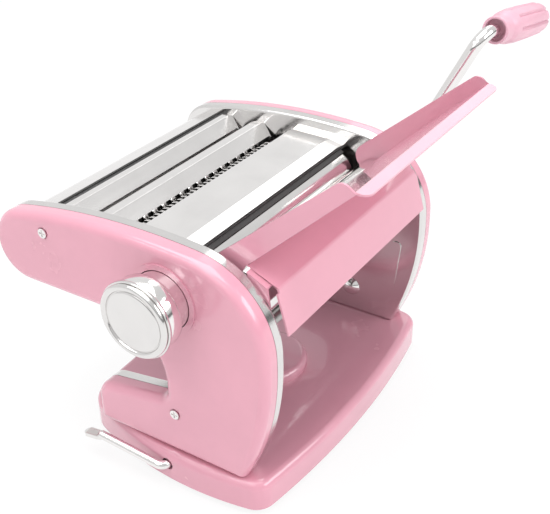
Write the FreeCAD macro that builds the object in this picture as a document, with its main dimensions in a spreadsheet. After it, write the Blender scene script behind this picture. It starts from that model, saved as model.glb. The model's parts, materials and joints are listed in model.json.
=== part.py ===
"""Hand cranked pasta machine on a suction base, as a parametric FreeCAD document.

Frame: millimetres, +Z up, X along the rollers with the crank on +X, the dough
tray towards -Y, the origin in the middle of the base's underside.
"""
import FreeCAD, Part
import math
import os

import Sketcher

os.makedirs("parts", exist_ok=True)
doc = FreeCAD.newDocument("pasta_machine")
sheet = doc.addObject("Spreadsheet::Sheet", "Dims")


class Size:
    """A length or angle that knows its value and the spreadsheet formula for it."""

    def __init__(self, value, text):
        self.value = float(value)
        self.text = text

    def _join(self, other, sign, value):
        return Size(value, "(%s %s %s)" % (self.text, sign, as_size(other).text))

    def __add__(self, other):
        return self._join(other, "+", self.value + as_size(other).value)

    def __sub__(self, other):
        return self._join(other, "-", self.value - as_size(other).value)

    def __mul__(self, other):
        return self._join(other, "*", self.value * as_size(other).value)

    def __truediv__(self, other):
        return self._join(other, "/", self.value / as_size(other).value)

    def __radd__(self, other):
        return as_size(other) + self

    def __rsub__(self, other):
        return as_size(other) - self

    def __rmul__(self, other):
        return as_size(other) * self

    def __rtruediv__(self, other):
        return as_size(other) / self

    def __neg__(self):
        return Size(-self.value, "(0 - %s)" % self.text)


def as_size(number):
    return number if isinstance(number, Size) else Size(number, "%.6f" % number)


def root(size):
    return Size(math.sqrt(size.value), "sqrt(%s)" % size.text)


def whole(size):
    """The whole number below a size."""
    return Size(math.floor(size.value), "floor(%s)" % size.text)


def sine(degrees):
    return Size(math.sin(math.radians(degrees.value)), "sin(%s)" % degrees.text)


def cosine(degrees):
    return Size(math.cos(math.radians(degrees.value)), "cos(%s)" % degrees.text)


DIMENSIONS = (
    # base
    ("base_front", 66.5, "base corner line in front of the origin"),
    ("base_rear", 67.0, "base corner line behind the origin"),
    ("base_front_flare", 15.5, "reach of the front corners beyond the plates' inner faces"),
    ("base_rear_flare", 2.0, "reach of the rear corners beyond the plates' inner faces"),
    ("base_front_bow", 8.5, "outward bow of the front edge"),
    ("base_side_bow", 11.5, "outward bow of each side edge"),
    ("base_rear_bow", 3.0, "outward bow of the rear edge"),
    ("base_front_corner", 12.0, "front corner radius"),
    ("base_rear_corner", 22.0, "rear corner radius"),
    ("base_height", 22.0, "top of the base above the table"),
    ("base_lift", 4.0, "height of the base's lower edge above the table"),
    ("base_edge", 4.6, "rounding of the base's top edge"),
    ("base_wall", 2.5, "wall of the base shell"),
    ("dome_radius", 27.0, "radius of the raised round housing"),
    ("dome_height", 6.0, "height of the raised round housing"),
    ("dome_edge", 4.0, "rounding of the raised housing"),
    ("dome_centre", -6.0, "housing centre and lever axis along Y"),
    # side plates and covers
    ("plate_clearance", 5.5, "gap between a roller's end and the side plate"),
    ("plate_wall", 1.6, "side plate sheet thickness"),
    ("rim_depth", 6.7, "depth of the rim round each side plate"),
    ("rim_bend", 1.8, "rounding of the bend between side plate and rim"),
    ("crown_radius", 50.0, "front upper rounding of the side plates"),
    ("crown_y", -22.0, "centre of the front upper rounding along Y"),
    ("crown_z", 103.0, "centre of the front upper rounding along Z"),
    ("top_radius", 404.0, "gentle top curve of the side plates"),
    ("nose_radius", 22.0, "rear nose radius of the side plates"),
    ("nose_y", 87.6, "rear nose centre along Y"),
    ("nose_z", 125.0, "rear nose centre along Z"),
    ("front_foot", -54.5, "front end of the side plate foot"),
    ("front_bow", 5.2, "outward bow of the side plate front edge"),
    ("web_y", -5.6, "rear edge of the side plate web, in the notch"),
    ("foot_top", 57.0, "top of the side plate foot beside the web"),
    ("foot_heel", 48.6, "top of the side plate foot at its rear end"),
    ("foot_rear", 46.0, "rear end of the side plate foot"),
    ("notch_top_corner", 34.5, "upper corner radius of the notch"),
    ("notch_foot_corner", 7.0, "lower corner radius of the notch"),
    ("foot_corner", 11.0, "rounding of the foot's upper end"),
    ("sole_corner", 3.0, "rounding of the foot's lower ends"),
    ("cover_gap", 0.3, "gap between side plate rim and side cover"),
    ("cover_depth", 10.0, "depth of each side cover"),
    ("cover_wall", 2.0, "side cover wall"),
    ("cover_edge", 5.0, "rounding of the side cover's outer edge"),
    ("screw_upper_y", 70.0, "upper side screw along Y"),
    ("screw_upper_z", 139.5, "upper side screw along Z"),
    ("screw_lower_y", -11.6, "lower side screw along Y"),
    ("screw_lower_z", 50.0, "lower side screw along Z"),
    ("screw_shank", 3.8, "side screw shank diameter"),
    ("screw_head", 5.8, "side screw head diameter"),
    ("screw_recess", 0.7, "depth to which a side screw's head is sunk"),
    ("inner_head", 6.4, "head diameter of the screws under the base"),
    ("stud_y", -24.0, "stud in the side plate web along Y"),
    ("stud_z", 40.0, "stud in the side plate web along Z"),
    ("stud_diameter", 11.0, "stud diameter"),
    # rollers
    ("roller_z", 124.5, "height of the sheet roller axes"),
    ("rear_roller_y", -10.5, "rear sheet roller axis along Y"),
    ("roller_spacing", 32.0, "distance between the sheet roller axes"),
    ("roller_gap", 0.2, "thinnest sheet between the rollers"),
    ("roller_length", 149.0, "working length of the rollers"),
    ("axle_diameter", 12.0, "roller axle diameter"),
    ("bush_wall", 2.0, "wall of each bush"),
    ("bush_play", 0.05, "running clearance of an axle in its bush"),
    ("gap_travel", 3.0, "travel of the rear roller when the gap opens"),
    ("gear_width", 6.0, "width of the gears"),
    ("gear_step", 1.0, "gap between side plate and gears"),
    ("roller_teeth", 22, "teeth of a roller gear"),
    ("cutter_teeth", 12, "teeth of a cutter gear"),
    # cutters
    ("cutter_z", 129.0, "height of the cutter axes"),
    ("wide_nip_y", 55.0, "middle of the wide cutter pair along Y"),
    ("narrow_nip_y", 28.0, "middle of the narrow cutter pair along Y"),
    ("cutter_spacing", 12.4, "distance between the axes of a cutter pair"),
    ("cutter_bite", 1.4, "depth by which paired cutters mesh"),
    ("wide_strip", 4.2, "width of the wide noodles"),
    ("narrow_strip", 2.1, "width of the narrow noodles"),
    ("cutter_play", 0.15, "side clearance between paired cutter rings"),
    ("cutter_axle", 7.0, "cutter axle diameter"),
    # top covers
    ("sheet_wall", 1.2, "top cover sheet thickness"),
    ("cover_level", 146.0, "upper level of the top covers"),
    ("lip_drop", 8.0, "drop of each cover's front lip"),
    ("rear_slot_rear", 79.0, "rear edge of the rear slot along Y"),
    ("rear_slot_front", 73.5, "front edge of the rear slot along Y"),
    ("wide_slot_rear", 61.5, "rear edge of the wide cutter slot"),
    ("wide_slot_front", 49.5, "front edge of the wide cutter slot"),
    ("narrow_slot_rear", 36.0, "rear edge of the narrow cutter slot"),
    ("narrow_slot_front", 21.3, "front edge of the narrow cutter slot"),
    ("crease_y", -5.8, "crease of the centre cover along Y"),
    ("crease_drop", 0.8, "fall of the centre cover to its crease"),
    ("centre_front", -15.8, "front edge of the centre cover"),
    ("centre_drop", 3.0, "fall of the centre cover to its front edge"),
    ("rear_inset", 5.2, "step of the rear cover inside the nose"),
    ("rear_break", 72.0, "angle on the nose where the rear cover leaves it"),
    # dough tray
    ("tray_clearance", 3.3, "gap between the dough tray and each side plate"),
    ("tray_wall", 1.2, "tray sheet thickness"),
    ("tray_root_y", -49.0, "tray fold above the front roller along Y"),
    ("tray_root_z", 146.5, "tray fold above the front roller along Z"),
    ("tray_top_y", -106.8, "upper end of the ramp along Y"),
    ("tray_top_z", 200.2, "upper end of the ramp along Z"),
    ("tray_lip", 6.4, "front lip of the ramp"),
    ("tray_lip_fall", 1.0, "fall of the front lip"),
    ("lip_corner", 5.0, "radius of the front lip's corners"),
    ("tray_knee_y", -66.8, "tray knee above the apron along Y"),
    ("tray_knee_z", 138.1, "tray knee above the apron along Z"),
    ("apron_y", -73.6, "lower edge of the apron along Y"),
    ("apron_z", 113.2, "lower edge of the apron along Z"),
    ("apron_step", 1.6, "step by which the apron is wider on each side"),
    ("flange_tip", 8.0, "height of the side flanges at the ramp's end"),
    ("ear_y", -35.2, "middle of the tray's rounded ear along Y"),
    ("ear_z", 140.0, "middle of the tray's rounded ear along Z"),
    ("ear_radius", 8.5, "radius of the tray's rounded ear"),
    # crank
    ("rod_diameter", 8.0, "crank rod diameter"),
    ("hub_clearance", 8.0, "distance from the side cover to the crank arm's plane"),
    ("arm_length", 101.0, "crank arm length"),
    ("arm_angle", 26.1, "crank arm lean from the vertical towards the front"),
    ("arm_splay", 5.7, "crank arm lean away from the machine"),
    ("bend_radius", 11.0, "bend radius of the crank rod"),
    ("grip_start", 17.0, "distance from the arm to the grip"),
    ("grip_length", 68.0, "length of the grip"),
    ("grip_radius", 10.5, "largest radius of the grip"),
    ("grip_collar", 8.3, "radius of the grip's smooth collar"),
    ("grip_flutes", 8, "number of flutes round the grip"),
    ("flute_radius", 1.9, "radius of a flute's round bottom"),
    ("flute_start", 18.0, "distance from the grip's mouth to its flutes"),
    ("grip_wall_play", 0.08, "running clearance of the grip on its rod"),
    ("grip_drop", 6.0, "degrees that the grip points down and to the front"),
    ("spigot_diameter", 5.0, "diameter of the crank's driving end"),
    ("socket_depth", 24.0, "crank rod length inside the roller"),
    # knob
    ("knob_face", 21.6, "radius of the knob's face"),
    ("knob_body", 20.4, "radius of the knob's body"),
    ("knob_neck", 16.8, "radius of the knob's neck"),
    ("knob_length", 24.5, "reach of the knob beyond the side cover"),
    ("knob_travel", 4.0, "pull of the knob that frees its detent"),
    ("knob_shaft", 10.0, "diameter of the adjusting shaft"),
    # suction foot
    ("lever_z", 14.2, "height of the suction lever's axis"),
    ("lever_rod", 5.2, "suction lever rod diameter"),
    ("lever_stand", 3.7, "distance from the base's skirt to the lever's middle line"),
    ("lever_bend", 4.5, "bend radius of the lever"),
    ("lever_reach", 59.5, "length of the suction lever"),
    ("lever_rise", 3.5, "degrees that the lever rises at rest"),
    ("tab_fall", -13.0, "degrees by which the thumb tab falls from the lever"),
    ("tab_length", 13.5, "length of the lever's thumb tab"),
    ("tab_half", 3.1, "half width of the lever's thumb tab"),
    ("pad_thick", 3.2, "thickness of the suction pad"),
    ("pad_radius", 56.0, "radius of the suction pad"),
    ("pad_rise", 3.5, "lift of the suction pad's stem"),
)
D = {}
for row, (alias, value, meaning) in enumerate(DIMENSIONS, 1):
    sheet.set("A%d" % row, alias)
    sheet.set("B%d" % row, str(value))
    sheet.set("C%d" % row, meaning)
    sheet.setAlias("B%d" % row, alias)
    D[alias] = Size(value, "Dims." + alias)
doc.recompute()

NODES = {}


# ---------------------------------------------------------------- helpers
def keep(obj, label):
    """Name a finished sub-part; its label names its file."""
    obj.Label = label
    NODES[label] = obj
    return obj


def bind(obj, prop, size):
    """Bind one property to the spreadsheet."""
    size = as_size(size)
    if "Dims." in size.text:
        obj.setExpression(prop, size.text)
    else:
        obj.setExpression(prop, "%.6f" % size.value)


def place(obj, x=0, y=0, z=0, axis=None, angle=None):
    """Bind a placement: a position and, if given, a turn about one axis."""
    if axis is not None:
        obj.Placement = FreeCAD.Placement(FreeCAD.Vector(), FreeCAD.Vector(*axis), 1)
        bind(obj, "Placement.Rotation.Angle", angle)
    for name, size in (("x", x), ("y", y), ("z", z)):
        bind(obj, "Placement.Base." + name, size)
    return obj


def rod(x0, x1, y, z, radius):
    """A cylinder along X from x0 to x1."""
    part = doc.addObject("Part::Cylinder", "rod")
    bind(part, "Radius", radius)
    bind(part, "Height", as_size(x1) - x0)
    return place(part, x0, y, z, (0, 1, 0), 90)


def post(x, y, z0, z1, radius):
    """A cylinder along Z."""
    part = doc.addObject("Part::Cylinder", "post")
    bind(part, "Radius", radius)
    bind(part, "Height", as_size(z1) - z0)
    return place(part, x, y, z0)


def block(x0, x1, y0, y1, z0, z1):
    """A box between two corners."""
    part = doc.addObject("Part::Box", "block")
    bind(part, "Length", as_size(x1) - x0)
    bind(part, "Width", as_size(y1) - y0)
    bind(part, "Height", as_size(z1) - z0)
    return place(part, x0, y0, z0)


def group(parts):
    """Several separate solids as one object."""
    joined = doc.addObject("Part::Compound", "group")
    joined.Links = parts
    return joined


def fuse(*parts):
    joined = doc.addObject("Part::MultiFuse", "fuse")
    joined.Shapes = list(parts)
    return joined


def cut(base, *tools):
    """The base less all the tools."""
    result = base
    for tool in tools:
        step = doc.addObject("Part::Cut", "cut")
        step.Base = result
        step.Tool = tool
        result = step
    return result


def tube(x0, x1, y, z, outer, inner):
    """A sleeve along X."""
    return cut(rod(x0, x1, y, z, outer), rod(as_size(x0) - 1, as_size(x1) + 1, y, z, inner))


def new_body():
    return doc.addObject("PartDesign::Body", "body")


def origin_part(body, role):
    """One of the planes or axes of a body's own origin."""
    return [item for item in body.Origin.OriginFeatures if item.Role == role][0]


def new_sketch(body, role):
    """A sketch on one of the body's own origin planes."""
    sketch = body.newObject("Sketcher::SketchObject", "sketch")
    sketch.AttachmentSupport = (origin_part(body, role), [""])
    sketch.MapMode = "FlatFace"
    return sketch


def fix(sketch, kind, args, size):
    """Add a dimension to a sketch and bind it."""
    size = as_size(size)
    index = sketch.addConstraint(Sketcher.Constraint(kind, *args, size.value))
    if "Dims." in size.text:
        name = "size%d" % index
        sketch.renameConstraint(index, name)
        sketch.setExpression("Constraints." + name, size.text)


def pin(sketch, geo, point, u, v):
    """Fix one point of a sketch at (u, v) from its origin."""
    fix(sketch, "DistanceX", (-1, 1, geo, point), u)
    fix(sketch, "DistanceY", (-1, 1, geo, point), v)


def arc_between(a, b, bow):
    """An arc from a to b that bows to the right of the way by the given height."""
    dx, dy = b.x - a.x, b.y - a.y
    chord = math.hypot(dx, dy)
    side = FreeCAD.Vector(dy / chord, -dx / chord, 0)
    middle = (a + b) * 0.5 + side * bow
    return Part.Arc(a, middle, b)


def loop(sketch, corners):
    """A closed profile. Each corner is (u, v) or (u, v, bow of the edge after it)."""
    points = [FreeCAD.Vector(as_size(c[0]).value, as_size(c[1]).value, 0) for c in corners]
    ends = []
    for index, corner in enumerate(corners):
        a, b = points[index], points[(index + 1) % len(points)]
        bow = as_size(corner[2]) if len(corner) > 2 and corner[2] is not None else None
        if bow is None:
            geo = sketch.addGeometry(Part.LineSegment(a, b), False)
            ends.append((geo, 1, 2))
            continue
        curve = arc_between(a, b, bow.value)
        geo = sketch.addGeometry(curve, False)
        first = sketch.getPoint(geo, 1)
        ends.append((geo, 1, 2) if first.distanceToPoint(a) < 1e-4 else (geo, 2, 1))
        after = corners[(index + 1) % len(corners)]
        du, dv = as_size(after[0]) - corner[0], as_size(after[1]) - corner[1]
        radius = ((du * du + dv * dv) / 4 + bow * bow) / (2 * bow)
        if radius.value < 0:
            radius = -radius
        fix(sketch, "Radius", (geo,), radius)
    for index, (geo, start, _) in enumerate(ends):
        before, _, end = ends[index - 1]
        sketch.addConstraint(Sketcher.Constraint("Coincident", before, end, geo, start))
        pin(sketch, geo, start, corners[index][0], corners[index][1])
    return sketch


def circle(sketch, u, v, radius):
    centre = FreeCAD.Vector(as_size(u).value, as_size(v).value, 0)
    shape = Part.Circle(centre, FreeCAD.Vector(0, 0, 1), as_size(radius).value)
    geo = sketch.addGeometry(shape, False)
    fix(sketch, "Radius", (geo,), radius)
    pin(sketch, geo, 3, u, v)


def pad(body, sketch, length):
    step = body.newObject("PartDesign::Pad", "pad")
    step.Profile = sketch
    bind(step, "Length", length)
    body.Tip = step
    doc.recompute()
    return step


def find_edges(shape, test):
    """Names of the edges whose bounding box and middle pass the test."""
    names = []
    for index, edge in enumerate(shape.Edges, 1):
        box = edge.BoundBox
        middle = edge.valueAt((edge.FirstParameter + edge.LastParameter) / 2)
        if test(box, middle):
            names.append("Edge%d" % index)
    return names


def round_off(body, test, radius, kind="Fillet"):
    """Fillet or chamfer the edges of a body that pass the test."""
    base = body.Tip
    names = find_edges(base.Shape, test)
    if not names:
        raise RuntimeError("no edges to round on " + base.Name)
    step = body.newObject("PartDesign::" + kind, kind.lower())
    step.Base = (base, names)
    bind(step, "Radius" if kind == "Fillet" else "Size", radius)
    body.Tip = step
    doc.recompute()
    return step


def plate_of(role, corners, length):
    """A body padded from one closed profile."""
    body = new_body()
    pad(body, loop(new_sketch(body, role), corners), length)
    return body


def spun(profile):
    """A body turned about its own X axis; profile corners are (x, radius)."""
    body = new_body()
    sketch = loop(new_sketch(body, "XY_Plane"), profile)
    doc.recompute()
    step = body.newObject("PartDesign::Revolution", "turned")
    step.Profile = sketch
    step.ReferenceAxis = (sketch, ["H_Axis"])
    step.Angle = 360
    body.Tip = step
    doc.recompute()
    return body


def bar_y(x, y0, y1, z, radius):
    """A cylinder along Y."""
    part = doc.addObject("Part::Cylinder", "bar")
    bind(part, "Radius", radius)
    bind(part, "Height", as_size(y1) - y0)
    return place(part, x, y0, z, (1, 0, 0), -90)


def near_corner(y, z, reach=1.5):
    """Test for an edge along X at a corner of the side outline."""
    y, z = as_size(y).value, as_size(z).value

    def test(box, middle):
        return box.XLength > 1 and abs(middle.y - y) < reach and abs(middle.z - z) < reach
    return test


# ---------------------------------------------------------------- shared places
HALF_GAP = D["roller_length"] / 2 + D["plate_clearance"]
TRAY_HALF = HALF_GAP - D["tray_clearance"]
BASE_FRONT_HALF = HALF_GAP + D["base_front_flare"]
BASE_REAR_HALF = HALF_GAP + D["base_rear_flare"]
SKIRT_X = (BASE_FRONT_HALF + BASE_REAR_HALF) / 2 + D["base_side_bow"]
RIM_OUT = HALF_GAP + D["rim_depth"]
WEB_OUT = HALF_GAP + D["plate_wall"]
COVER_IN = RIM_OUT + D["cover_gap"]
COVER_OUT = COVER_IN + D["cover_depth"]
FRONT_ROLLER_Y = D["rear_roller_y"] - D["roller_spacing"]
ROLLER_RADIUS = (D["roller_spacing"] - D["roller_gap"]) / 2
AXLE_RADIUS = D["axle_diameter"] / 2
GEAR_IN = WEB_OUT + D["gear_step"]
GEAR_OUT = GEAR_IN + D["gear_width"]
ARM_UNDERSIDE = D["nose_z"] - D["nose_radius"]
CUTTER_RADIUS = (D["cutter_spacing"] + D["cutter_bite"]) / 2
SHELL_TOP = D["base_height"] - D["base_wall"]
TAP = 0.05  # radial slack of a screw in its hole


# ---------------------------------------------------------------- base
def base_outline(inset):
    """Corners of the base seen from above, with bowed edges."""
    return (
        (-(BASE_FRONT_HALF - inset), -(D["base_front"] - inset), D["base_front_bow"]),
        (BASE_FRONT_HALF - inset, -(D["base_front"] - inset), D["base_side_bow"]),
        (BASE_REAR_HALF - inset, D["base_rear"] - inset, D["base_rear_bow"]),
        (-(BASE_REAR_HALF - inset), D["base_rear"] - inset, D["base_side_bow"]),
    )


def base_solid(inset, low, top):
    """The base's outer or inner form between two heights."""
    body = new_body()
    outline = loop(new_sketch(body, "XY_Plane"), base_outline(inset))
    bind(outline, "AttachmentOffset.Base.z", low)
    pad(body, outline, top - low)
    round_base_corners(body, inset)
    level = top.value
    round_off(body, lambda box, mid: box.ZMin > level - 0.01, D["base_edge"] - inset)
    return body


def round_base_corners(body, inset):
    """Round the four upright corners of a solid with the base's outline."""
    for side, radius in ((-1, D["base_front_corner"]), (1, D["base_rear_corner"])):
        round_off(body, lambda box, mid: box.ZLength > 1 and box.XLength < 0.1
                  and side * mid.y > 0, radius - inset)


def dome_solid(inset):
    """The raised round housing on the base's top."""
    body = new_body()
    sketch = new_sketch(body, "XY_Plane")
    circle(sketch, 0, D["dome_centre"], D["dome_radius"] - inset)
    height = D["base_height"] + D["dome_height"] - inset
    pad(body, sketch, height)
    round_off(body, lambda box, mid: box.ZMin > height.value - 0.01, D["dome_edge"] - inset)
    return body


def base_shell():
    wall = D["base_wall"]
    skin = cut(dome_solid(as_size(0)),
               block(-BASE_FRONT_HALF, BASE_FRONT_HALF, -BASE_FRONT_HALF, BASE_FRONT_HALF,
                     0, D["base_lift"]))
    outer = fuse(base_solid(as_size(0), D["base_lift"], D["base_height"]), skin)
    inner = fuse(base_solid(wall, as_size(0), SHELL_TOP), dome_solid(wall))
    hollow = cut(outer, inner)
    side_hole = rod(-(SKIRT_X + SKIRT_REACH), -(SKIRT_X - SKIRT_REACH), D["dome_centre"],
                    D["lever_z"], LEVER_BUSH + TAP)
    holes = [post(x, y, SHELL_TOP - 1, D["base_height"] + 1, D["screw_shank"] / 2 + TAP)
             for x, y in FOOT_SCREWS]
    keep(cut(hollow, side_hole, *holes), "base_shell")


SKIRT_REACH = 8.0  # how far the lever's hole and bush run to each side of the skirt
LEVER_BUSH = D["lever_rod"] / 2 + 1.1
FOOT_SCREW_X = (WEB_OUT + RIM_OUT) / 2
FROM_TOE, FROM_HEEL = 16, 14  # foot screws from the ends of the side plates' feet
FOOT_SCREWS = [(side * FOOT_SCREW_X, y) for side in (-1, 1)
               for y in (D["front_foot"] + FROM_TOE, D["foot_rear"] - FROM_HEEL)]
FLANGE_TOP = D["base_height"] + D["plate_wall"]


def foot_fasteners():
    """Screws up through the base into nuts on the side plates' lower flanges."""
    shank, head = D["screw_shank"] / 2, D["inner_head"] / 2
    nut_radius, nut_height, head_height = 2.5, 3, 2
    screws = []
    for x, y in FOOT_SCREWS:
        screws.append(fuse(post(x, y, SHELL_TOP - head_height, SHELL_TOP, head),
                           post(x, y, SHELL_TOP - 0.01, FLANGE_TOP + nut_height + 1, shank)))
    keep(group(screws), "foot_screws")
    nuts = [cut(post(x, y, FLANGE_TOP, FLANGE_TOP + nut_height, nut_radius),
                post(x, y, FLANGE_TOP - 1, FLANGE_TOP + nut_height + 1, shank + TAP))
            for x, y in FOOT_SCREWS]
    keep(group(nuts), "foot_nuts")


PLATE_LOW = D["base_lift"] + 1.2
PLATE_SHEET = 1.5
PLATE_SCREWS = [(sx * (BASE_REAR_HALF - 12), y) for sx in (-1, 1)
                for y in (-(D["base_front"] - 14), D["base_rear"] - 18)]


def base_plate():
    """The steel sheet that closes the base round the pad, with its screws and feet."""
    inset = D["base_wall"] + 0.3
    shank, head = D["screw_shank"] / 2, D["inner_head"] / 2
    boss_radius, foot_radius, thread, head_height = 4.5, 7.0, 9.8, 1.4
    body = plate_of("XY_Plane", base_outline(inset), PLATE_SHEET)
    round_base_corners(body, inset)
    place(body, 0, 0, PLATE_LOW)
    top = PLATE_LOW + PLATE_SHEET
    opening = post(0, D["dome_centre"], 0, top + 1, D["pad_radius"] + 1.5)
    holes = [post(x, y, 0, top + 1, shank + TAP) for x, y in PLATE_SCREWS]
    keep(cut(body, opening, *holes), "base_plate")
    bosses, screws, feet = [], [], []
    for x, y in PLATE_SCREWS:
        bosses.append(cut(post(x, y, top, SHELL_TOP, boss_radius),
                          post(x, y, PLATE_LOW, PLATE_LOW + thread + 1, shank + TAP)))
        screws.append(fuse(post(x, y, PLATE_LOW - head_height, PLATE_LOW, head),
                           post(x, y, PLATE_LOW - 0.01, PLATE_LOW + thread, shank)))
        feet.append(cut(post(x, y, 0, PLATE_LOW, foot_radius),
                        post(x, y, -1, PLATE_LOW + 1, head + 0.4)))
    keep(group(bosses), "base_bosses")
    keep(group(screws), "base_screws")
    keep(group(feet), "base_feet")


def suction_foot():
    """Rubber pad, stem with its window, cam shaft, brackets and the hand lever."""
    y, z = D["dome_centre"], D["lever_z"]
    shaft_radius = D["lever_rod"] / 2
    pad_top = D["pad_thick"] + 1
    disc = fuse(post(0, y, 0, D["pad_thick"], D["pad_radius"]),
                post(0, y, D["pad_thick"] - 0.2, pad_top, 20))
    keep(disc, "suction_pad")
    half_x, half_y, post_wall = 5, 10, 2
    stem = block(-half_x, half_x, y - half_y, y + half_y, pad_top, z + 6.4)
    window = block(-half_x - 1, half_x + 1, y - half_y + post_wall, y + half_y - post_wall,
                   z - 8, z + 4)
    keep(cut(stem, window), "suction_stem")
    lobe_drop, lobe_radius, lobe_half = 3.4, 3.9, 4
    cam = rod(-lobe_half, lobe_half, y, z - lobe_drop, lobe_radius)
    shaft = rod(-(SKIRT_X - LEVER_ROOT), 24, y, z, shaft_radius)
    keep(fuse(shaft, cam), "cam_shaft")
    bracket_low = pad_top + D["pad_rise"] + 0.7
    width, half_depth = 6, 7
    brackets = [cut(block(x, x + width, y - half_depth, y + half_depth, bracket_low, SHELL_TOP),
                    rod(x - 1, x + width + 1, y, z, shaft_radius + D["bush_play"]))
                for x in (-40, 14)]
    keep(group(brackets), "shaft_brackets")
    bush_out = SKIRT_X - (D["lever_bend"] - D["lever_stand"]) - 0.5
    keep(tube(-bush_out, -(SKIRT_X - SKIRT_REACH), y, z, LEVER_BUSH,
              shaft_radius + D["bush_play"]), "lever_bush")
    lever()


LEVER_ROOT = 6.0  # where lever and cam shaft meet, inside the skirt


def swept_rod(run, arm_length, bend, radius):
    """A round rod along -X for one run, then bent to run along +Y."""
    body = new_body()
    path = new_sketch(body, "XY_Plane")
    straight = as_size(run) - bend
    knee = FreeCAD.Vector(-straight.value, bend.value, 0)
    first = path.addGeometry(Part.LineSegment(
        FreeCAD.Vector(0, 0, 0), FreeCAD.Vector(-straight.value, 0, 0)), False)
    turn = path.addGeometry(Part.ArcOfCircle(
        Part.Circle(knee, FreeCAD.Vector(0, 0, 1), bend.value), math.pi, math.pi * 1.5), False)
    arm = path.addGeometry(Part.LineSegment(
        FreeCAD.Vector(-run.value, bend.value, 0),
        FreeCAD.Vector(-run.value, arm_length.value, 0)), False)
    path.addConstraint(Sketcher.Constraint("Coincident", first, 2, turn, 2))
    path.addConstraint(Sketcher.Constraint("Coincident", turn, 1, arm, 1))
    pin(path, first, 1, 0, 0)
    pin(path, first, 2, -straight, 0)
    pin(path, arm, 1, -run, bend)
    pin(path, arm, 2, -run, arm_length)
    fix(path, "Radius", (turn,), bend)
    section = new_sketch(body, "YZ_Plane")
    circle(section, 0, 0, radius)
    doc.recompute()
    sweep = body.newObject("PartDesign::AdditivePipe", "bent_rod")
    sweep.Profile = section
    sweep.Spine = (path, ["Edge1", "Edge2", "Edge3"])
    body.Tip = sweep
    doc.recompute()
    return body


def lever():
    """The chrome hand lever: one bent rod that ends in a flat ribbed thumb tab."""
    run = LEVER_ROOT + D["lever_stand"]
    radius = D["lever_rod"] / 2
    arm_end = D["lever_reach"] - D["tab_length"]
    arm = swept_rod(run, arm_end, D["lever_bend"], radius)
    half, length = D["tab_half"], D["tab_length"]
    thick, taper, crown = 2.2, 2.5, 2.4
    tab = plate_of("XY_Plane", (
        (-radius + 0.2, 0), (radius - 0.2, 0), (half, taper),
        (half, length - crown, crown), (-half, length - crown), (-half, taper)), thick)
    rib_pitch, rib_width, rib_count = 1.3, 0.6, 7
    ribs = [block(-half + 0.8, half - 0.8, taper + 0.6 + rib_pitch * step,
                  taper + 0.6 + rib_width + rib_pitch * step, thick - 0.2, thick + 0.5)
            for step in range(rib_count)]
    thumb = fuse(tab, *ribs)
    place(thumb, -run, arm_end - 1.5, -1.7, (1, 0, 0), D["tab_fall"])
    piece = fuse(arm, thumb)
    place(piece, -(SKIRT_X - LEVER_ROOT), D["dome_centre"], D["lever_z"], (1, 0, 0),
          D["lever_rise"])
    keep(piece, "suction_lever")


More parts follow.
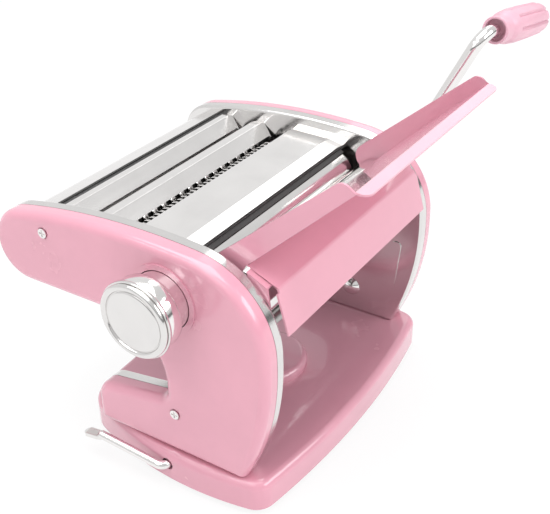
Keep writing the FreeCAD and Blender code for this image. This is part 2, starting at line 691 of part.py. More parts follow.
# ---------------------------------------------------------------- side assemblies
def side_solid(depth, inset):
    """The C shaped side outline, padded along +X, with its corners rounded."""
    body = new_body()
    sketch = new_sketch(body, "YZ_Plane")
    crown = FreeCAD.Vector(D["crown_y"].value, D["crown_z"].value, 0)
    nose = FreeCAD.Vector(D["nose_y"].value, D["nose_z"].value, 0)
    r_crown, r_nose = D["crown_radius"] - inset, D["nose_radius"] - inset
    r_top = D["top_radius"] - inset
    # centre of the gentle top curve that touches both end roundings inside
    far_crown, far_nose = r_top.value - r_crown.value, r_top.value - r_nose.value
    span = crown.distanceToPoint(nose)
    along = (far_crown ** 2 - far_nose ** 2 + span ** 2) / (2 * span)
    across = math.sqrt(far_crown ** 2 - along ** 2)
    way = (nose - crown) / span
    top = crown + way * along + FreeCAD.Vector(way.y, -way.x, 0) * across
    start = math.atan2(crown.y - top.y, crown.x - top.x)
    stop = math.atan2(nose.y - top.y, nose.x - top.x)
    up = FreeCAD.Vector(0, 0, 1)
    g_nose = sketch.addGeometry(Part.ArcOfCircle(
        Part.Circle(nose, up, r_nose.value), -math.pi / 2, stop), False)
    g_top = sketch.addGeometry(Part.ArcOfCircle(
        Part.Circle(top, up, r_top.value), stop, start), False)
    g_crown = sketch.addGeometry(Part.ArcOfCircle(
        Part.Circle(crown, up, r_crown.value), start, math.pi), False)
    for geo, radius in ((g_nose, r_nose), (g_top, r_top), (g_crown, r_crown)):
        fix(sketch, "Radius", (geo,), radius)
    pin(sketch, g_nose, 3, D["nose_y"], D["nose_z"])
    pin(sketch, g_crown, 3, D["crown_y"], D["crown_z"])
    sketch.addConstraint(Sketcher.Constraint("Tangent", g_nose, 2, g_top, 1))
    sketch.addConstraint(Sketcher.Constraint("Tangent", g_top, 2, g_crown, 1))
    front = D["crown_y"] - r_crown
    sole = D["base_height"] + inset
    under = D["nose_z"] - r_nose
    toe = D["front_foot"] + inset
    web, ledge = D["web_y"] - inset, D["foot_top"] - inset
    heel, heel_top = D["foot_rear"] - inset, D["foot_heel"] - inset
    corners = ((front, D["crown_z"]), (toe, sole), (heel, sole), (heel, heel_top),
               (web, ledge), (web, under), (D["nose_y"], under))
    points = [FreeCAD.Vector(as_size(u).value, as_size(v).value, 0) for u, v in corners]
    bowed = arc_between(points[0], points[1], D["front_bow"].value)
    g_front = sketch.addGeometry(bowed, False)
    first = sketch.getPoint(g_front, 1).distanceToPoint(points[0]) < 1e-4
    front_start, front_end = (1, 2) if first else (2, 1)
    bow = D["front_bow"]
    du, dv = corners[1][0] - corners[0][0], corners[1][1] - corners[0][1]
    fix(sketch, "Radius", (g_front,), ((du * du + dv * dv) / 4 + bow * bow) / (2 * bow))
    sketch.addConstraint(Sketcher.Constraint("Coincident", g_crown, 2, g_front, front_start))
    fix(sketch, "DistanceY", (-1, 1, g_front, front_start), D["crown_z"])
    last, last_point = g_front, front_end
    for index in range(1, len(points) - 1):
        line = sketch.addGeometry(Part.LineSegment(points[index], points[index + 1]), False)
        sketch.addConstraint(Sketcher.Constraint("Coincident", last, last_point, line, 1))
        pin(sketch, line, 1, *corners[index])
        last, last_point = line, 2
    sketch.addConstraint(Sketcher.Constraint("Coincident", last, 2, g_nose, 1))
    fix(sketch, "DistanceX", (-1, 1, last, 2), D["nose_y"])
    doc.recompute()
    pad(body, sketch, depth)
    rounds = ((toe, sole, D["sole_corner"] - inset), (heel, sole, D["sole_corner"] - inset),
              (heel, heel_top, D["foot_corner"] - inset),
              (web, ledge, D["notch_foot_corner"] + inset),
              (web, under, D["notch_top_corner"] + inset))
    for y, z, radius in rounds:
        round_off(body, near_corner(y, z), radius)
    return body


def mirrored(obj, label):
    """The same piece on the other side of the machine's middle plane."""
    copy = doc.addObject("Part::Mirroring", "mirrored")
    copy.Source = obj
    copy.Base = FreeCAD.Vector(0, 0, 0)
    copy.Normal = FreeCAD.Vector(1, 0, 0)
    return keep(copy, label)


def plate_holes():
    """Tools for every hole that both side plates share."""
    x0, x1 = HALF_GAP - 1, RIM_OUT + 1
    bush = AXLE_RADIUS + D["bush_wall"]
    tools = [rod(x0, x1, FRONT_ROLLER_Y, D["roller_z"], bush + TAP)]
    window = gap_block_size()
    tools.append(block(x0, x1, D["rear_roller_y"] - window - 0.1,
                       D["rear_roller_y"] + window + D["gap_travel"] + 0.1,
                       D["roller_z"] - window - 0.1, D["roller_z"] + window + 0.1))
    for y in CUTTER_AXES:
        tools.append(rod(x0, x1, y, D["cutter_z"], D["cutter_axle"] / 2 + 1.0 + TAP))
    for y, z in SIDE_SCREWS:
        tools.append(rod(x0, x1, y, z, D["screw_shank"] / 2 + TAP))
    for y, z in TIE_RODS:
        tools.append(rod(x0, x1, y, z, TIE_THREAD + TAP))
    tools.append(rod(x0, x1, D["stud_y"], D["stud_z"], D["stud_diameter"] / 2 + TAP))
    for y, z in CARRIER_RIVETS:
        tools.append(rod(x0, x1, y, z, RIVET_SHANK + TAP))
    for x, y in FOOT_SCREWS[2:]:
        tools.append(post(x, y, D["base_height"] - 1, FLANGE_TOP + 1,
                          D["screw_shank"] / 2 + TAP))
    return tools


def gap_block_size():
    """Half width of the square block that carries the rear roller's axle."""
    return AXLE_RADIUS + D["bush_wall"]


WIDE_AXES = (D["wide_nip_y"] - D["cutter_spacing"] / 2, D["wide_nip_y"] + D["cutter_spacing"] / 2)
NARROW_AXES = (D["narrow_nip_y"] - D["cutter_spacing"] / 2,
               D["narrow_nip_y"] + D["cutter_spacing"] / 2)
CUTTER_AXES = WIDE_AXES + NARROW_AXES
SIDE_SCREWS = ((D["screw_upper_y"], D["screw_upper_z"]), (D["screw_lower_y"], D["screw_lower_z"]))
CARRIER_RIVETS = ((FRONT_ROLLER_Y - 18, D["roller_z"] - 3),
                  (FRONT_ROLLER_Y - 16, D["roller_z"] + 6.5))
RIVET_SHANK = 1.5
RIVET_HEAD = 2.2
TIE_THREAD = as_size(2.5)
TIE_RADIUS = 4.0
NOSE_TIE, ARM_TIE, FRONT_TIE = (4, -9), (12, 7), (-7.5, -20.5)  # from what each one lies near
TIE_RODS = ((D["nose_y"] + NOSE_TIE[0], D["nose_z"] + NOSE_TIE[1]),
            (D["narrow_nip_y"] + ARM_TIE[0], ARM_UNDERSIDE + ARM_TIE[1]),
            (FRONT_ROLLER_Y + FRONT_TIE[0], D["roller_z"] + FRONT_TIE[1]))


def side_plates():
    wall = D["plate_wall"]
    outer = side_solid(D["rim_depth"], as_size(0))
    round_off(outer, lambda box, mid: box.XMax < 0.01, D["rim_bend"])
    place(outer, HALF_GAP)
    inner = side_solid(D["rim_depth"], wall)
    place(inner, WEB_OUT)
    rib = rib_solid()
    pan = cut(fuse(cut(outer, inner), rib), *plate_holes())
    keep(pan, "side_plate_right")
    mirrored(pan, "side_plate_left")


def rib_solid():
    """The pressed stiffening rib on the inner face, a long low pad with round ends."""
    body = new_body()
    sketch = new_sketch(body, "YZ_Plane")
    low_y, low_z = D["stud_y"] - 28.5, D["stud_z"] + 10.5
    high_y, high_z = D["stud_y"] - 32.2, D["stud_z"] + 44
    half, height = 3.3, 0.6
    loop(sketch, ((low_y - half, low_z), (low_y + half, low_z),
                  (high_y + half, high_z), (high_y - half, high_z)))
    pad(body, sketch, height * 2)
    round_off(body, lambda box, mid: box.XLength > 1 and box.ZLength < 0.1, half - 0.4)
    place(body, HALF_GAP - height)
    return body


HEAD_SEAT = COVER_OUT - D["screw_recess"]
HEAD_HEIGHT = 1.5


def side_covers():
    """Pillow shaped enamelled covers, hollow towards the side plates."""
    wall = D["cover_wall"]
    covers = []
    for inset in (as_size(0), wall):
        body = side_solid(D["cover_depth"] - inset, inset)
        face = (D["cover_depth"] - inset).value
        round_off(body, lambda box, mid: box.XMin > face - 0.01, D["cover_edge"] - inset)
        place(body, COVER_IN)
        covers.append(body)
    shell = cut(*covers)
    screws = [rod(COVER_IN - 1, COVER_OUT + 1, y, z, D["screw_shank"] / 2 + TAP)
              for y, z in SIDE_SCREWS]
    screws += [rod(HEAD_SEAT, COVER_OUT + 1, y, z, D["screw_head"] / 2 + 0.6)
               for y, z in SIDE_SCREWS]
    crank_holes = [rod(COVER_IN, COVER_OUT + 1, FRONT_ROLLER_Y, D["roller_z"],
                       D["rod_diameter"] / 2 + 2.5)]
    for y in (WIDE_AXES[0], NARROW_AXES[0]):
        crank_holes.append(rod(COVER_IN, COVER_OUT + 1, y, D["cutter_z"],
                               D["rod_diameter"] / 2 + 0.8))
    keep(cut(shell, *(screws + crank_holes)), "side_cover_right")
    boss_out = COVER_OUT + 0.9
    left = doc.addObject("Part::Mirroring", "mirrored")
    left.Source = cut(shell, *screws)
    left.Normal = FreeCAD.Vector(1, 0, 0)
    boss = rod(-boss_out, -(COVER_OUT - 1.0), D["rear_roller_y"], D["roller_z"],
               D["knob_neck"] + 3.5)
    opening = rod(-(COVER_OUT + 5), -COVER_IN, D["rear_roller_y"], D["roller_z"],
                  D["knob_neck"] + 0.35)
    keep(cut(fuse(left, boss), opening), "side_cover_left")
    cover_fasteners()


def cover_fasteners():
    """Spacers between side plate and cover, and the screws that hold the covers."""
    inner = COVER_OUT - D["cover_wall"]
    shank = D["screw_shank"] / 2
    spacers, screws = [], []
    for side in (-1, 1):
        for y, z in SIDE_SCREWS:
            spacers.append(tube(*ordered(side, WEB_OUT, inner), y, z, 3.6, shank + TAP))
            face = HEAD_SEAT + HEAD_HEIGHT
            head = rod(*ordered(side, HEAD_SEAT, face), y, z, D["screw_head"] / 2)
            stem = rod(*ordered(side, HALF_GAP - 2.5, HEAD_SEAT + 0.01), y, z, shank)
            across, slit = D["screw_head"] / 2 - 0.8, 0.45
            slots = [block(*ordered(side, face - 0.8, face + 1),
                           y - wide, y + wide, z - high, z + high)
                     for wide, high in ((across, slit), (slit, across))]
            screws.append(cut(fuse(head, stem), *slots))
    keep(group(spacers), "cover_spacers")
    keep(group(screws), "cover_screws")


def ordered(side, a, b):
    """Two X values on one side of the machine, lower one first."""
    return (as_size(a), as_size(b)) if side > 0 else (-as_size(b), -as_size(a))


def ties_and_studs():
    """Cross rods that hold the side plates apart, their nuts, and the web studs."""
    rods, nuts, studs = [], [], []
    nut_height, nut_radius, thread_over = 3.0, 4.2, 0.4
    for y, z in TIE_RODS:
        thread_end = WEB_OUT + nut_height + thread_over
        thread = rod(-thread_end, thread_end, y, z, TIE_THREAD)
        rods.append(fuse(rod(-HALF_GAP, HALF_GAP, y, z, TIE_RADIUS), thread))
        for side in (-1, 1):
            nuts.append(tube(*ordered(side, WEB_OUT, WEB_OUT + nut_height), y, z,
                             nut_radius, TIE_THREAD + TAP))
    radius, head = D["stud_diameter"] / 2, D["stud_diameter"] / 2 + 1
    crown_rise, crown_bow, brim, tail = 3.2, 0.84, 0.2, 1.5
    face = HALF_GAP - brim
    stud = spun(((face - crown_rise, 0, -crown_bow), (face, head), (HALF_GAP, head),
                 (HALF_GAP, radius), (WEB_OUT + tail, radius), (WEB_OUT + tail, 0)))
    place(stud, 0, D["stud_y"], D["stud_z"])
    twin = doc.addObject("Part::Mirroring", "mirrored")
    twin.Source = stud
    twin.Normal = FreeCAD.Vector(1, 0, 0)
    studs = [stud, twin]
    keep(group(rods), "tie_rods")
    keep(group(nuts), "tie_rod_nuts")
    keep(group(studs), "plate_studs")


# ---------------------------------------------------------------- gears, rollers, cutters
def gear(teeth, pitch_radius, x, y, z, bore, turn):
    """A spur gear on an axle along X: a disc and one tooth, repeated round it."""
    body = new_body()
    module = pitch_radius * 2 / teeth
    foot, tip = pitch_radius - module * 1.15, pitch_radius + module * 0.8
    disc = new_sketch(body, "YZ_Plane")
    circle(disc, 0, 0, foot)
    circle(disc, 0, 0, bore)
    pad(body, disc, D["gear_width"])
    tooth = new_sketch(body, "YZ_Plane")
    low, mid, high = module * 0.95, module * 0.68, module * 0.3
    loop(tooth, ((foot - 0.4, -low), (pitch_radius, -mid), (tip, -high), (tip, high),
                 (pitch_radius, mid), (foot - 0.4, low)))
    cog = pad(body, tooth, D["gear_width"])
    pattern = body.newObject("PartDesign::PolarPattern", "teeth")
    pattern.Originals = [cog]
    pattern.Axis = (origin_part(body, "X_Axis"), [""])
    pattern.Angle = 360
    bind(pattern, "Occurrences", teeth)
    body.Tip = pattern
    doc.recompute()
    return place(body, x, y, z, (1, 0, 0), turn)


def sheet_rollers():
    z = D["roller_z"]
    half = D["roller_length"] / 2
    rear_y = D["rear_roller_y"]
    axle_end = GEAR_OUT + 1
    socket = D["spigot_diameter"] / 2 + D["bush_play"]
    barrel = rod(-half, half, FRONT_ROLLER_Y, z, ROLLER_RADIUS)
    axle = rod(-axle_end, COVER_OUT - 4, FRONT_ROLLER_Y, z, AXLE_RADIUS)
    front = cut(fuse(barrel, axle),
                rod(COVER_OUT - 4 - D["socket_depth"], COVER_OUT, FRONT_ROLLER_Y, z, socket))
    keep(front, "front_roller")
    rear = fuse(rod(-half, half, rear_y, z, ROLLER_RADIUS),
                rod(-(WEB_OUT + 1), axle_end, rear_y, z, AXLE_RADIUS))
    keep(rear, "rear_roller")
    pitch = D["roller_spacing"] / 2
    teeth = D["roller_teeth"]
    bore = AXLE_RADIUS
    keep(gear(teeth, pitch, GEAR_IN, FRONT_ROLLER_Y, z, bore, 0), "front_roller_gear")
    keep(gear(teeth, pitch, GEAR_IN, rear_y, z, bore, 180 / teeth), "rear_roller_gear")
    bush = AXLE_RADIUS + D["bush_wall"]
    bush_in = TRAY_HALF + 0.5
    bushes = [tube(*ordered(side, bush_in, WEB_OUT), FRONT_ROLLER_Y, z, bush,
                   AXLE_RADIUS + D["bush_play"]) for side in (-1, 1)]
    keep(group(bushes), "front_roller_bushes")
    window = gap_block_size()
    blocks = []
    for side in (-1, 1):
        x0, x1 = ordered(side, bush_in, WEB_OUT)
        square = block(x0, x1, rear_y - window, rear_y + window, z - window, z + window)
        blocks.append(cut(square, rod(x0 - 1, x1 + 1, rear_y, z, AXLE_RADIUS + D["bush_play"])))
    keep(group(blocks), "gap_blocks")
    keep(group(scrapers()), "roller_scrapers")


def scrapers():
    """A blade under each roller, and a wiper between the rear roller and its cover."""
    z, gap, half_blade, blade_height = D["roller_z"], 0.35, 0.6, 14
    blades = []
    for y in (FRONT_ROLLER_Y, D["rear_roller_y"]):
        tip = z - ROLLER_RADIUS - gap
        blades.append(block(-HALF_GAP, HALF_GAP, y - half_blade, y + half_blade,
                            tip - blade_height, tip))
    wiper_front = D["centre_front"]
    wiper_rear = wiper_front + 2 * half_blade
    off = wiper_rear - D["rear_roller_y"]
    low = z + root(ROLLER_RADIUS * ROLLER_RADIUS - off * off) + gap
    top = D["cover_level"] - D["centre_drop"] - D["sheet_wall"]
    return blades + [block(-HALF_GAP, HALF_GAP, wiper_front, wiper_rear, low, top)]


def cutter(y, z, strip, phase, drive):
    """A grooved cutter roller: rings of one strip width, a strip apart, on a thin axle."""
    half = D["roller_length"] / 2 - 1
    pitch = strip * 2
    count = whole((half * 2 - strip) / pitch)
    first = pitch * count / -2 + strip * phase + D["cutter_play"] / 2
    body = new_body()
    core = new_sketch(body, "YZ_Plane")
    circle(core, 0, 0, CUTTER_RADIUS - D["cutter_bite"] - 0.2)
    bind(core, "AttachmentOffset.Base.z", -half)
    pad(body, core, half * 2)
    ring = new_sketch(body, "YZ_Plane")
    circle(ring, 0, 0, CUTTER_RADIUS)
    bind(ring, "AttachmentOffset.Base.z", first)
    disc = pad(body, ring, strip - D["cutter_play"])
    row = body.newObject("PartDesign::LinearPattern", "rings")
    row.Originals = [disc]
    row.Direction = (origin_part(body, "X_Axis"), [""])
    bind(row, "Length", pitch * (count - 1))
    bind(row, "Occurrences", count)
    body.Tip = row
    doc.recompute()
    place(body, 0, y, z)
    right = COVER_OUT - 4 if drive else GEAR_OUT + 1
    return fuse(body, rod(-(WEB_OUT + 1), right, y, z, D["cutter_axle"] / 2))


def cutters():
    z = D["cutter_z"]
    sets = (("wide", WIDE_AXES, D["wide_strip"]), ("narrow", NARROW_AXES, D["narrow_strip"]))
    pitch = D["cutter_spacing"] / 2
    bushes = []
    for name, axes, strip in sets:
        for place_name, y, phase in (("front", axes[0], 0), ("rear", axes[1], 1)):
            label = "%s_cutter_%s" % (name, place_name)
            drive = place_name == "front"
            body = cutter(y, z, strip, phase, drive)
            if drive:
                body = cut(body, rod(COVER_OUT - 18, COVER_OUT, y, z,
                                     D["spigot_diameter"] / 2 + D["bush_play"]))
            keep(body, label)
            turn = as_size(0) if drive else 180 / D["cutter_teeth"]
            keep(gear(D["cutter_teeth"], pitch, GEAR_IN, y, z, D["cutter_axle"] / 2, turn),
                 label + "_gear")
            for side in (-1, 1):
                bushes.append(tube(*ordered(side, D["roller_length"] / 2, WEB_OUT), y, z,
                                   D["cutter_axle"] / 2 + 1.0,
                                   D["cutter_axle"] / 2 + D["bush_play"]))
    keep(group(bushes), "cutter_bushes")
    combs = []
    for axes in (WIDE_AXES, NARROW_AXES):
        for y, out in ((axes[0], -1), (axes[1], 1)):
            top = z - CUTTER_RADIUS - 0.3
            combs.append(block(-HALF_GAP, HALF_GAP, y - 0.5, y + 0.5, top - 9, top))
    keep(group(combs), "cutter_strippers")


# ---------------------------------------------------------------- top covers
def across_gap(corners, label):
    """A profile in the YZ plane carried from one side plate to the other."""
    sheet_part = plate_of("YZ_Plane", corners, HALF_GAP * 2)
    place(sheet_part, -HALF_GAP)
    keep(sheet_part, label)


def strip_cover(label, rear, front):
    """A steel strip between the side plates whose front edge turns down."""
    wall, drop = D["sheet_wall"], D["lip_drop"]
    top, low = D["cover_level"], D["cover_level"] - drop
    bend = front + drop * 0.9
    across_gap(((rear, top - wall), (rear, top), (bend, top, 1.8), (front, low),
                (front + wall, low, -1.4), (bend, top - wall)), label)


def rear_cover():
    """The rear cover slopes from the rear slot, then follows the nose round the back."""
    wall = D["sheet_wall"]
    y, z, r = D["nose_y"], D["nose_z"], D["nose_radius"] - D["rear_inset"]
    lift, back = sine(D["rear_break"]), cosine(D["rear_break"])
    depth = 1 - cosine((90 + D["rear_break"]) / 2)
    slot, level = D["rear_slot_rear"], D["cover_level"] - 0.5
    inner = r - wall
    across_gap(((slot, level - wall), (slot, level, None), (y + r * back, z + r * lift, -(r * depth)),
                (y, z - r), (y, z - inner, inner * depth),
                (y + inner * back, z + inner * lift)), "rear_cover")


def centre_cover():
    """The wide cover behind the rollers, creased so that its lip leans to the nip."""
    wall, top = D["sheet_wall"], D["cover_level"]
    crease, front = top - D["crease_drop"], top - D["centre_drop"]
    across_gap(((D["narrow_slot_front"], top - wall), (D["narrow_slot_front"], top),
                (D["crease_y"], crease), (D["centre_front"], front),
                (D["centre_front"], front - wall), (D["crease_y"], crease - wall)),
               "centre_cover")


def top_covers():
    rear_cover()
    strip_cover("rear_strip", D["rear_slot_front"], D["wide_slot_rear"])
    strip_cover("middle_strip", D["wide_slot_front"], D["narrow_slot_rear"])
    centre_cover()


# ---------------------------------------------------------------- dough tray
EAR_SAGITTA = 1.084  # height of the ear's arc over its chord, in ear radii


def dough_tray():
    """One folded sheet: apron, knee, ramp with side flanges and a front lip."""
    wall, half = D["tray_wall"], TRAY_HALF
    ry, rz = D["tray_root_y"], D["tray_root_z"]
    ty, tz = D["tray_top_y"], D["tray_top_z"]
    ky, kz = D["tray_knee_y"], D["tray_knee_z"]
    ay, az = D["apron_y"], D["apron_z"]
    lip_y, lip_z = ty - D["tray_lip"], tz - D["tray_lip_fall"]
    ramp = plate_of("YZ_Plane", (
        (ky + wall, kz - wall * 0.6), (ry + wall * 1.6, rz), (ty + wall * 0.3, tz + wall),
        (lip_y, lip_z + wall), (lip_y, lip_z), (ty, tz - wall * 0.3),
        (ry - wall * 1.2, rz - wall * 0.2), (ky, kz)), half * 2)
    place(ramp, -half)
    ramp = cut(ramp, *[lip_corner(side * half, lip_y, lip_z, side) for side in (-1, 1)])
    wide = half + D["apron_step"]
    apron = plate_of("YZ_Plane", ((ay, az), (ay + wall, az), (ky + wall, kz - wall * 0.6),
                                  (ky, kz)), wide * 2)
    place(apron, -wide)
    slope_y, slope_z = ty - ry, tz - rz
    length = root(slope_y * slope_y + slope_z * slope_z)
    up_y, up_z = slope_z / length, -slope_y / length
    tip, ear = D["flange_tip"], D["ear_radius"]
    ear_y, ear_z = D["ear_y"], D["ear_z"]
    flange = ((ty, tz), (ty + up_y * tip + 1, tz + up_z * tip - 1),
              (ear_y + up_y * ear, ear_z + up_z * ear, ear * -EAR_SAGITTA),
              (ear_y - ear * 0.8, ear_z - ear * 0.6), (ry, rz))
    sides = []
    for x in (-half, half - wall):
        side = plate_of("YZ_Plane", flange, wall)
        crest = (tz + up_z * tip - 1).value
        round_off(side, lambda box, mid: box.XLength > 1 and abs(mid.z - crest) < 0.5, 4)
        place(side, x)
        sides.append(side)
    keep(fuse(ramp, apron, *sides), "dough_tray")
    tray_carrier()


def lip_corner(x, y, z, side):
    """What is cut away to round one front corner of the lip."""
    r = D["lip_corner"]
    low, high = z - 2, z + 4
    x0, x1 = (x - r, x + 1) if side > 0 else (x - 1, x + r)
    corner = block(x0, x1, y - 1, y + r, low, high)
    return cut(corner, post(x - r * side, y + r, low - 1, high + 1, r))


def tray_carrier():
    """A bent steel strip under the tray's knee, with an ear on each side plate."""
    wall = D["tray_wall"]
    ry, rz = D["tray_root_y"], D["tray_root_z"]
    ky, kz = D["tray_knee_y"], D["tray_knee_z"]
    rise = (rz - (kz - wall * 0.6)) / (ry + wall * 1.6 - ky - wall)
    front, back = ky + 4.5, ry - 1.5
    seat = kz - wall * 0.6 - (ky + wall) * rise
    strip = plate_of("YZ_Plane", (
        (front, seat + front * rise - wall), (front, seat + front * rise),
        (back, seat + back * rise), (back, seat + back * rise - wall)), HALF_GAP * 2)
    place(strip, -HALF_GAP)
    pieces, rivets = [strip], []
    low_y, low_z = CARRIER_RIVETS[0]
    for side in (-1, 1):
        x0, x1 = ordered(side, HALF_GAP - wall, HALF_GAP)
        ear = plate_of("YZ_Plane", (
            (front, seat + front * rise), (low_y - 4.5, low_z - 4), (low_y + 4, low_z - 4),
            (back - 3, low_z + 12), (back, seat + back * rise)), wall)
        place(ear, x0)
        holes = [rod(x0 - 1, x1 + 1, y, z, RIVET_SHANK + TAP) for y, z in CARRIER_RIVETS]
        pieces.append(cut(ear, *holes))
        for y, z in CARRIER_RIVETS:
            inner = rod(*ordered(side, HALF_GAP - wall - 1, HALF_GAP - wall), y, z, RIVET_HEAD)
            outer = rod(*ordered(side, WEB_OUT, WEB_OUT + 1), y, z, RIVET_HEAD)
            shank = rod(*ordered(side, HALF_GAP - wall - 0.5, WEB_OUT + 0.5), y, z, RIVET_SHANK)
            rivets.append(fuse(inner, outer, shank))
    keep(fuse(*pieces), "tray_carrier")
    keep(group(rivets), "carrier_rivets")


# ---------------------------------------------------------------- crank
def crank_points():
    """Hub, elbow, shoulder and the two ends of the grip along the crank rod."""
    lean, splay = D["arm_angle"].value, D["arm_splay"].value
    up = FreeCAD.Vector(0, -math.sin(math.radians(lean)), math.cos(math.radians(lean)))
    out = FreeCAD.Vector(1, 0, 0)
    cos_s, sin_s = math.cos(math.radians(splay)), math.sin(math.radians(splay))
    arm = up * cos_s + out * sin_s
    down_front = FreeCAD.Vector(0, -up.z, up.y)
    twist = math.radians(D["grip_drop"].value)
    along = (out * cos_s - up * sin_s) * math.cos(twist) + down_front * math.sin(twist)
    hub = FreeCAD.Vector(0, FRONT_ROLLER_Y.value, D["roller_z"].value)
    start = hub + out * (COVER_OUT - 4 - D["socket_depth"] + 0.5).value
    elbow = hub + out * (COVER_OUT + D["hub_clearance"]).value
    shoulder = elbow + arm * D["arm_length"].value
    return start, elbow, shoulder, along


def rounded_wire(points, radius):
    """Straight runs joined by tangent arcs."""
    edges = []
    last = points[0]
    for before, corner, after in zip(points, points[1:], points[2:]):
        back = (before - corner).normalize()
        ahead = (after - corner).normalize()
        half = back.getAngle(ahead) / 2
        reach = radius / math.tan(half)
        bisector = (back + ahead).normalize()
        middle = corner + bisector * (radius / math.sin(half) - radius)
        start, end = corner + back * reach, corner + ahead * reach
        edges.append(Part.LineSegment(last, start).toShape())
        edges.append(Part.Arc(start, middle, end).toShape())
        last = end
    edges.append(Part.LineSegment(last, points[-1]).toShape())
    return Part.Wire(edges)


def crank():
    start, elbow, shoulder, along = crank_points()
    radius = D["rod_diameter"].value / 2
    grip_from = shoulder + along * D["grip_start"].value
    grip_to = grip_from + along * D["grip_length"].value
    rod_end = grip_to - along * 5.8
    out = FreeCAD.Vector(1, 0, 0)
    thick = FreeCAD.Vector(COVER_OUT.value - 3.5, start.y, start.z)
    path = rounded_wire([thick, elbow, shoulder, rod_end], D["bend_radius"].value)
    profile = Part.Wire(Part.Circle(thick, out, radius).toShape())
    bar = path.makePipeShell([profile], True, False)
    spigot = D["spigot_diameter"].value / 2
    bar = bar.fuse(Part.makeCylinder(spigot, thick.x - start.x + 1, start, out))
    rod_part = doc.addObject("Part::Feature", "crank_rod")
    rod_part.Shape = bar
    keep(rod_part, "crank_rod")
    turn = FreeCAD.Placement(grip_from, FreeCAD.Rotation(out, along))
    grip = crank_grip()
    grip.Placement = turn
    keep(grip, "crank_grip")
    rivet = rod(D["grip_length"] - GRIP_POCKET + 0.2, D["grip_length"] - GRIP_POCKET + 1.8,
                0, 0, 5.6)
    held = group([rivet])
    held.Placement = turn
    keep(held, "grip_rivet")


GRIP_POCKET = 6.0


def crank_grip():
    """The turned grip: a plain collar, then a fluted barrel, bored for the rod."""
    length, big, collar = D["grip_length"], D["grip_radius"], D["grip_collar"]
    bore = D["rod_diameter"] / 2 + D["grip_wall_play"]
    mouth = collar - 1.6
    body = spun(((0, mouth), (0, collar), (9, collar), (13, big - 0.6), (22, big),
                 (length - 8, big - 0.4), (length, big - 2.8), (length, 6.2),
                 (length - GRIP_POCKET, 6.2), (length - GRIP_POCKET, bore), (6, bore),
                 (5, mouth)))
    flute = new_sketch(body, "YZ_Plane")
    circle(flute, big + 0.7, 0, D["flute_radius"])
    bind(flute, "AttachmentOffset.Base.z", D["flute_start"])
    groove = body.newObject("PartDesign::Pocket", "flute")
    groove.Profile = flute
    groove.Reversed = True
    bind(groove, "Length", length)
    body.Tip = groove
    doc.recompute()
    ring = body.newObject("PartDesign::PolarPattern", "flutes")
    ring.Originals = [groove]
    ring.Axis = (origin_part(body, "X_Axis"), [""])
    ring.Angle = 360
    bind(ring, "Occurrences", D["grip_flutes"])
    body.Tip = ring
    doc.recompute()
    return body


# ---------------------------------------------------------------- thickness knob
def knob():
    y, z = D["rear_roller_y"], D["roller_z"]
    end = -(COVER_OUT + D["knob_length"])
    face = D["knob_face"]
    dish = face - 4
    ring_depth, neck_depth = 5, 15.5
    body_out, neck_out = end + ring_depth, end + neck_depth
    neck_in = -(COVER_OUT - 2.0)
    shaft = D["knob_shaft"] / 2
    ring = spun(((end + 1.2, as_size(0)), (end + 1.2, dish), (end + 0.2, dish + 0.6),
                 (end, face - 2.5), (end + 0.4, face - 1.4), (end + 1.2, face - 0.9),
                 (end + 1.9, face - 0.9), (end + 1.9, face - 1.7), (end + 2.5, face - 1.7),
                 (end + 2.5, face - 0.4), (end + 2.9, face), (end + 4.0, face),
                 (end + 4.4, face - 0.5), (end + 4.4, face - 1.7), (body_out, face - 1.7),
                 (body_out, as_size(0))))
    place(ring, 0, y, z)
    keep(ring, "knob_ring")
    cap = spun(((end + 0.2, as_size(0)), (end + 0.3, dish - 1.2), (end + 0.6, dish - 0.5),
                (end + 1.2, dish - 0.5), (end + 1.2, as_size(0))))
    place(cap, 0, y, z)
    keep(cap, "knob_cap")
    body, neck = D["knob_body"], D["knob_neck"]
    bore, pocket = shaft + D["bush_play"], shaft + 4.5
    shell = spun(((body_out, bore), (body_out, body), (neck_out - 0.8, body),
                  (neck_out, body - 0.8), (neck_out, neck - 0.6), (neck_out + 0.8, neck - 0.6),
                  (neck_out + 0.8, neck), (neck_in, neck), (neck_in, pocket),
                  (neck_out, pocket), (neck_out, bore)))
    place(shell, 0, y, z)
    keep(shell, "knob_shell")
    ring_out, ring_step = -(WEB_OUT + 7.4), -(WEB_OUT + 2.6)
    keep(tube(neck_out + 0.5, ring_out - 2, y, z, shaft + 3.2, shaft + 1.2), "knob_spring")
    stem = rod(body_out + D["knob_travel"] + 0.6, ring_step, y, z, shaft)
    collar = rod(ring_out - 2, ring_out, y, z, shaft + 4)
    keeper = rod(ring_step, ring_step + 0.8, y, z, shaft + 2)
    keep(fuse(stem, collar, keeper), "adjust_shaft")
    outer = neck - 1
    bearing = tube(ring_out, ring_step, y, z, outer, bore)
    skirt_ring = tube(ring_step, -WEB_OUT, y, z, outer, AXLE_RADIUS + D["gap_travel"] + 1)
    keep(fuse(bearing, skirt_ring), "index_ring")
    keep(rod(neck_in, ring_out - 0.4, y + neck - 4, z, 1.6), "index_pin")


base_shell()
foot_fasteners()
base_plate()
suction_foot()
side_plates()
side_covers()
ties_and_studs()
sheet_rollers()
cutters()
top_covers()
dough_tray()
crank()
knob()
doc.recompute()

# ---------------------------------------------------------------- checks and files
for obj in doc.Objects:
    if "Invalid" in obj.State or "Error" in obj.State:
        parents = [item.Label for item in obj.InListRecursive]
        raise RuntimeError("failed feature: %s in %s" % (obj.Name, parents))
for label, obj in NODES.items():
    shape = obj.Shape
    if shape.isNull() or not shape.isValid():
        raise RuntimeError("bad shape: " + label)
for label, obj in NODES.items():
    obj.Shape.exportStep("parts/%s.step" % label)
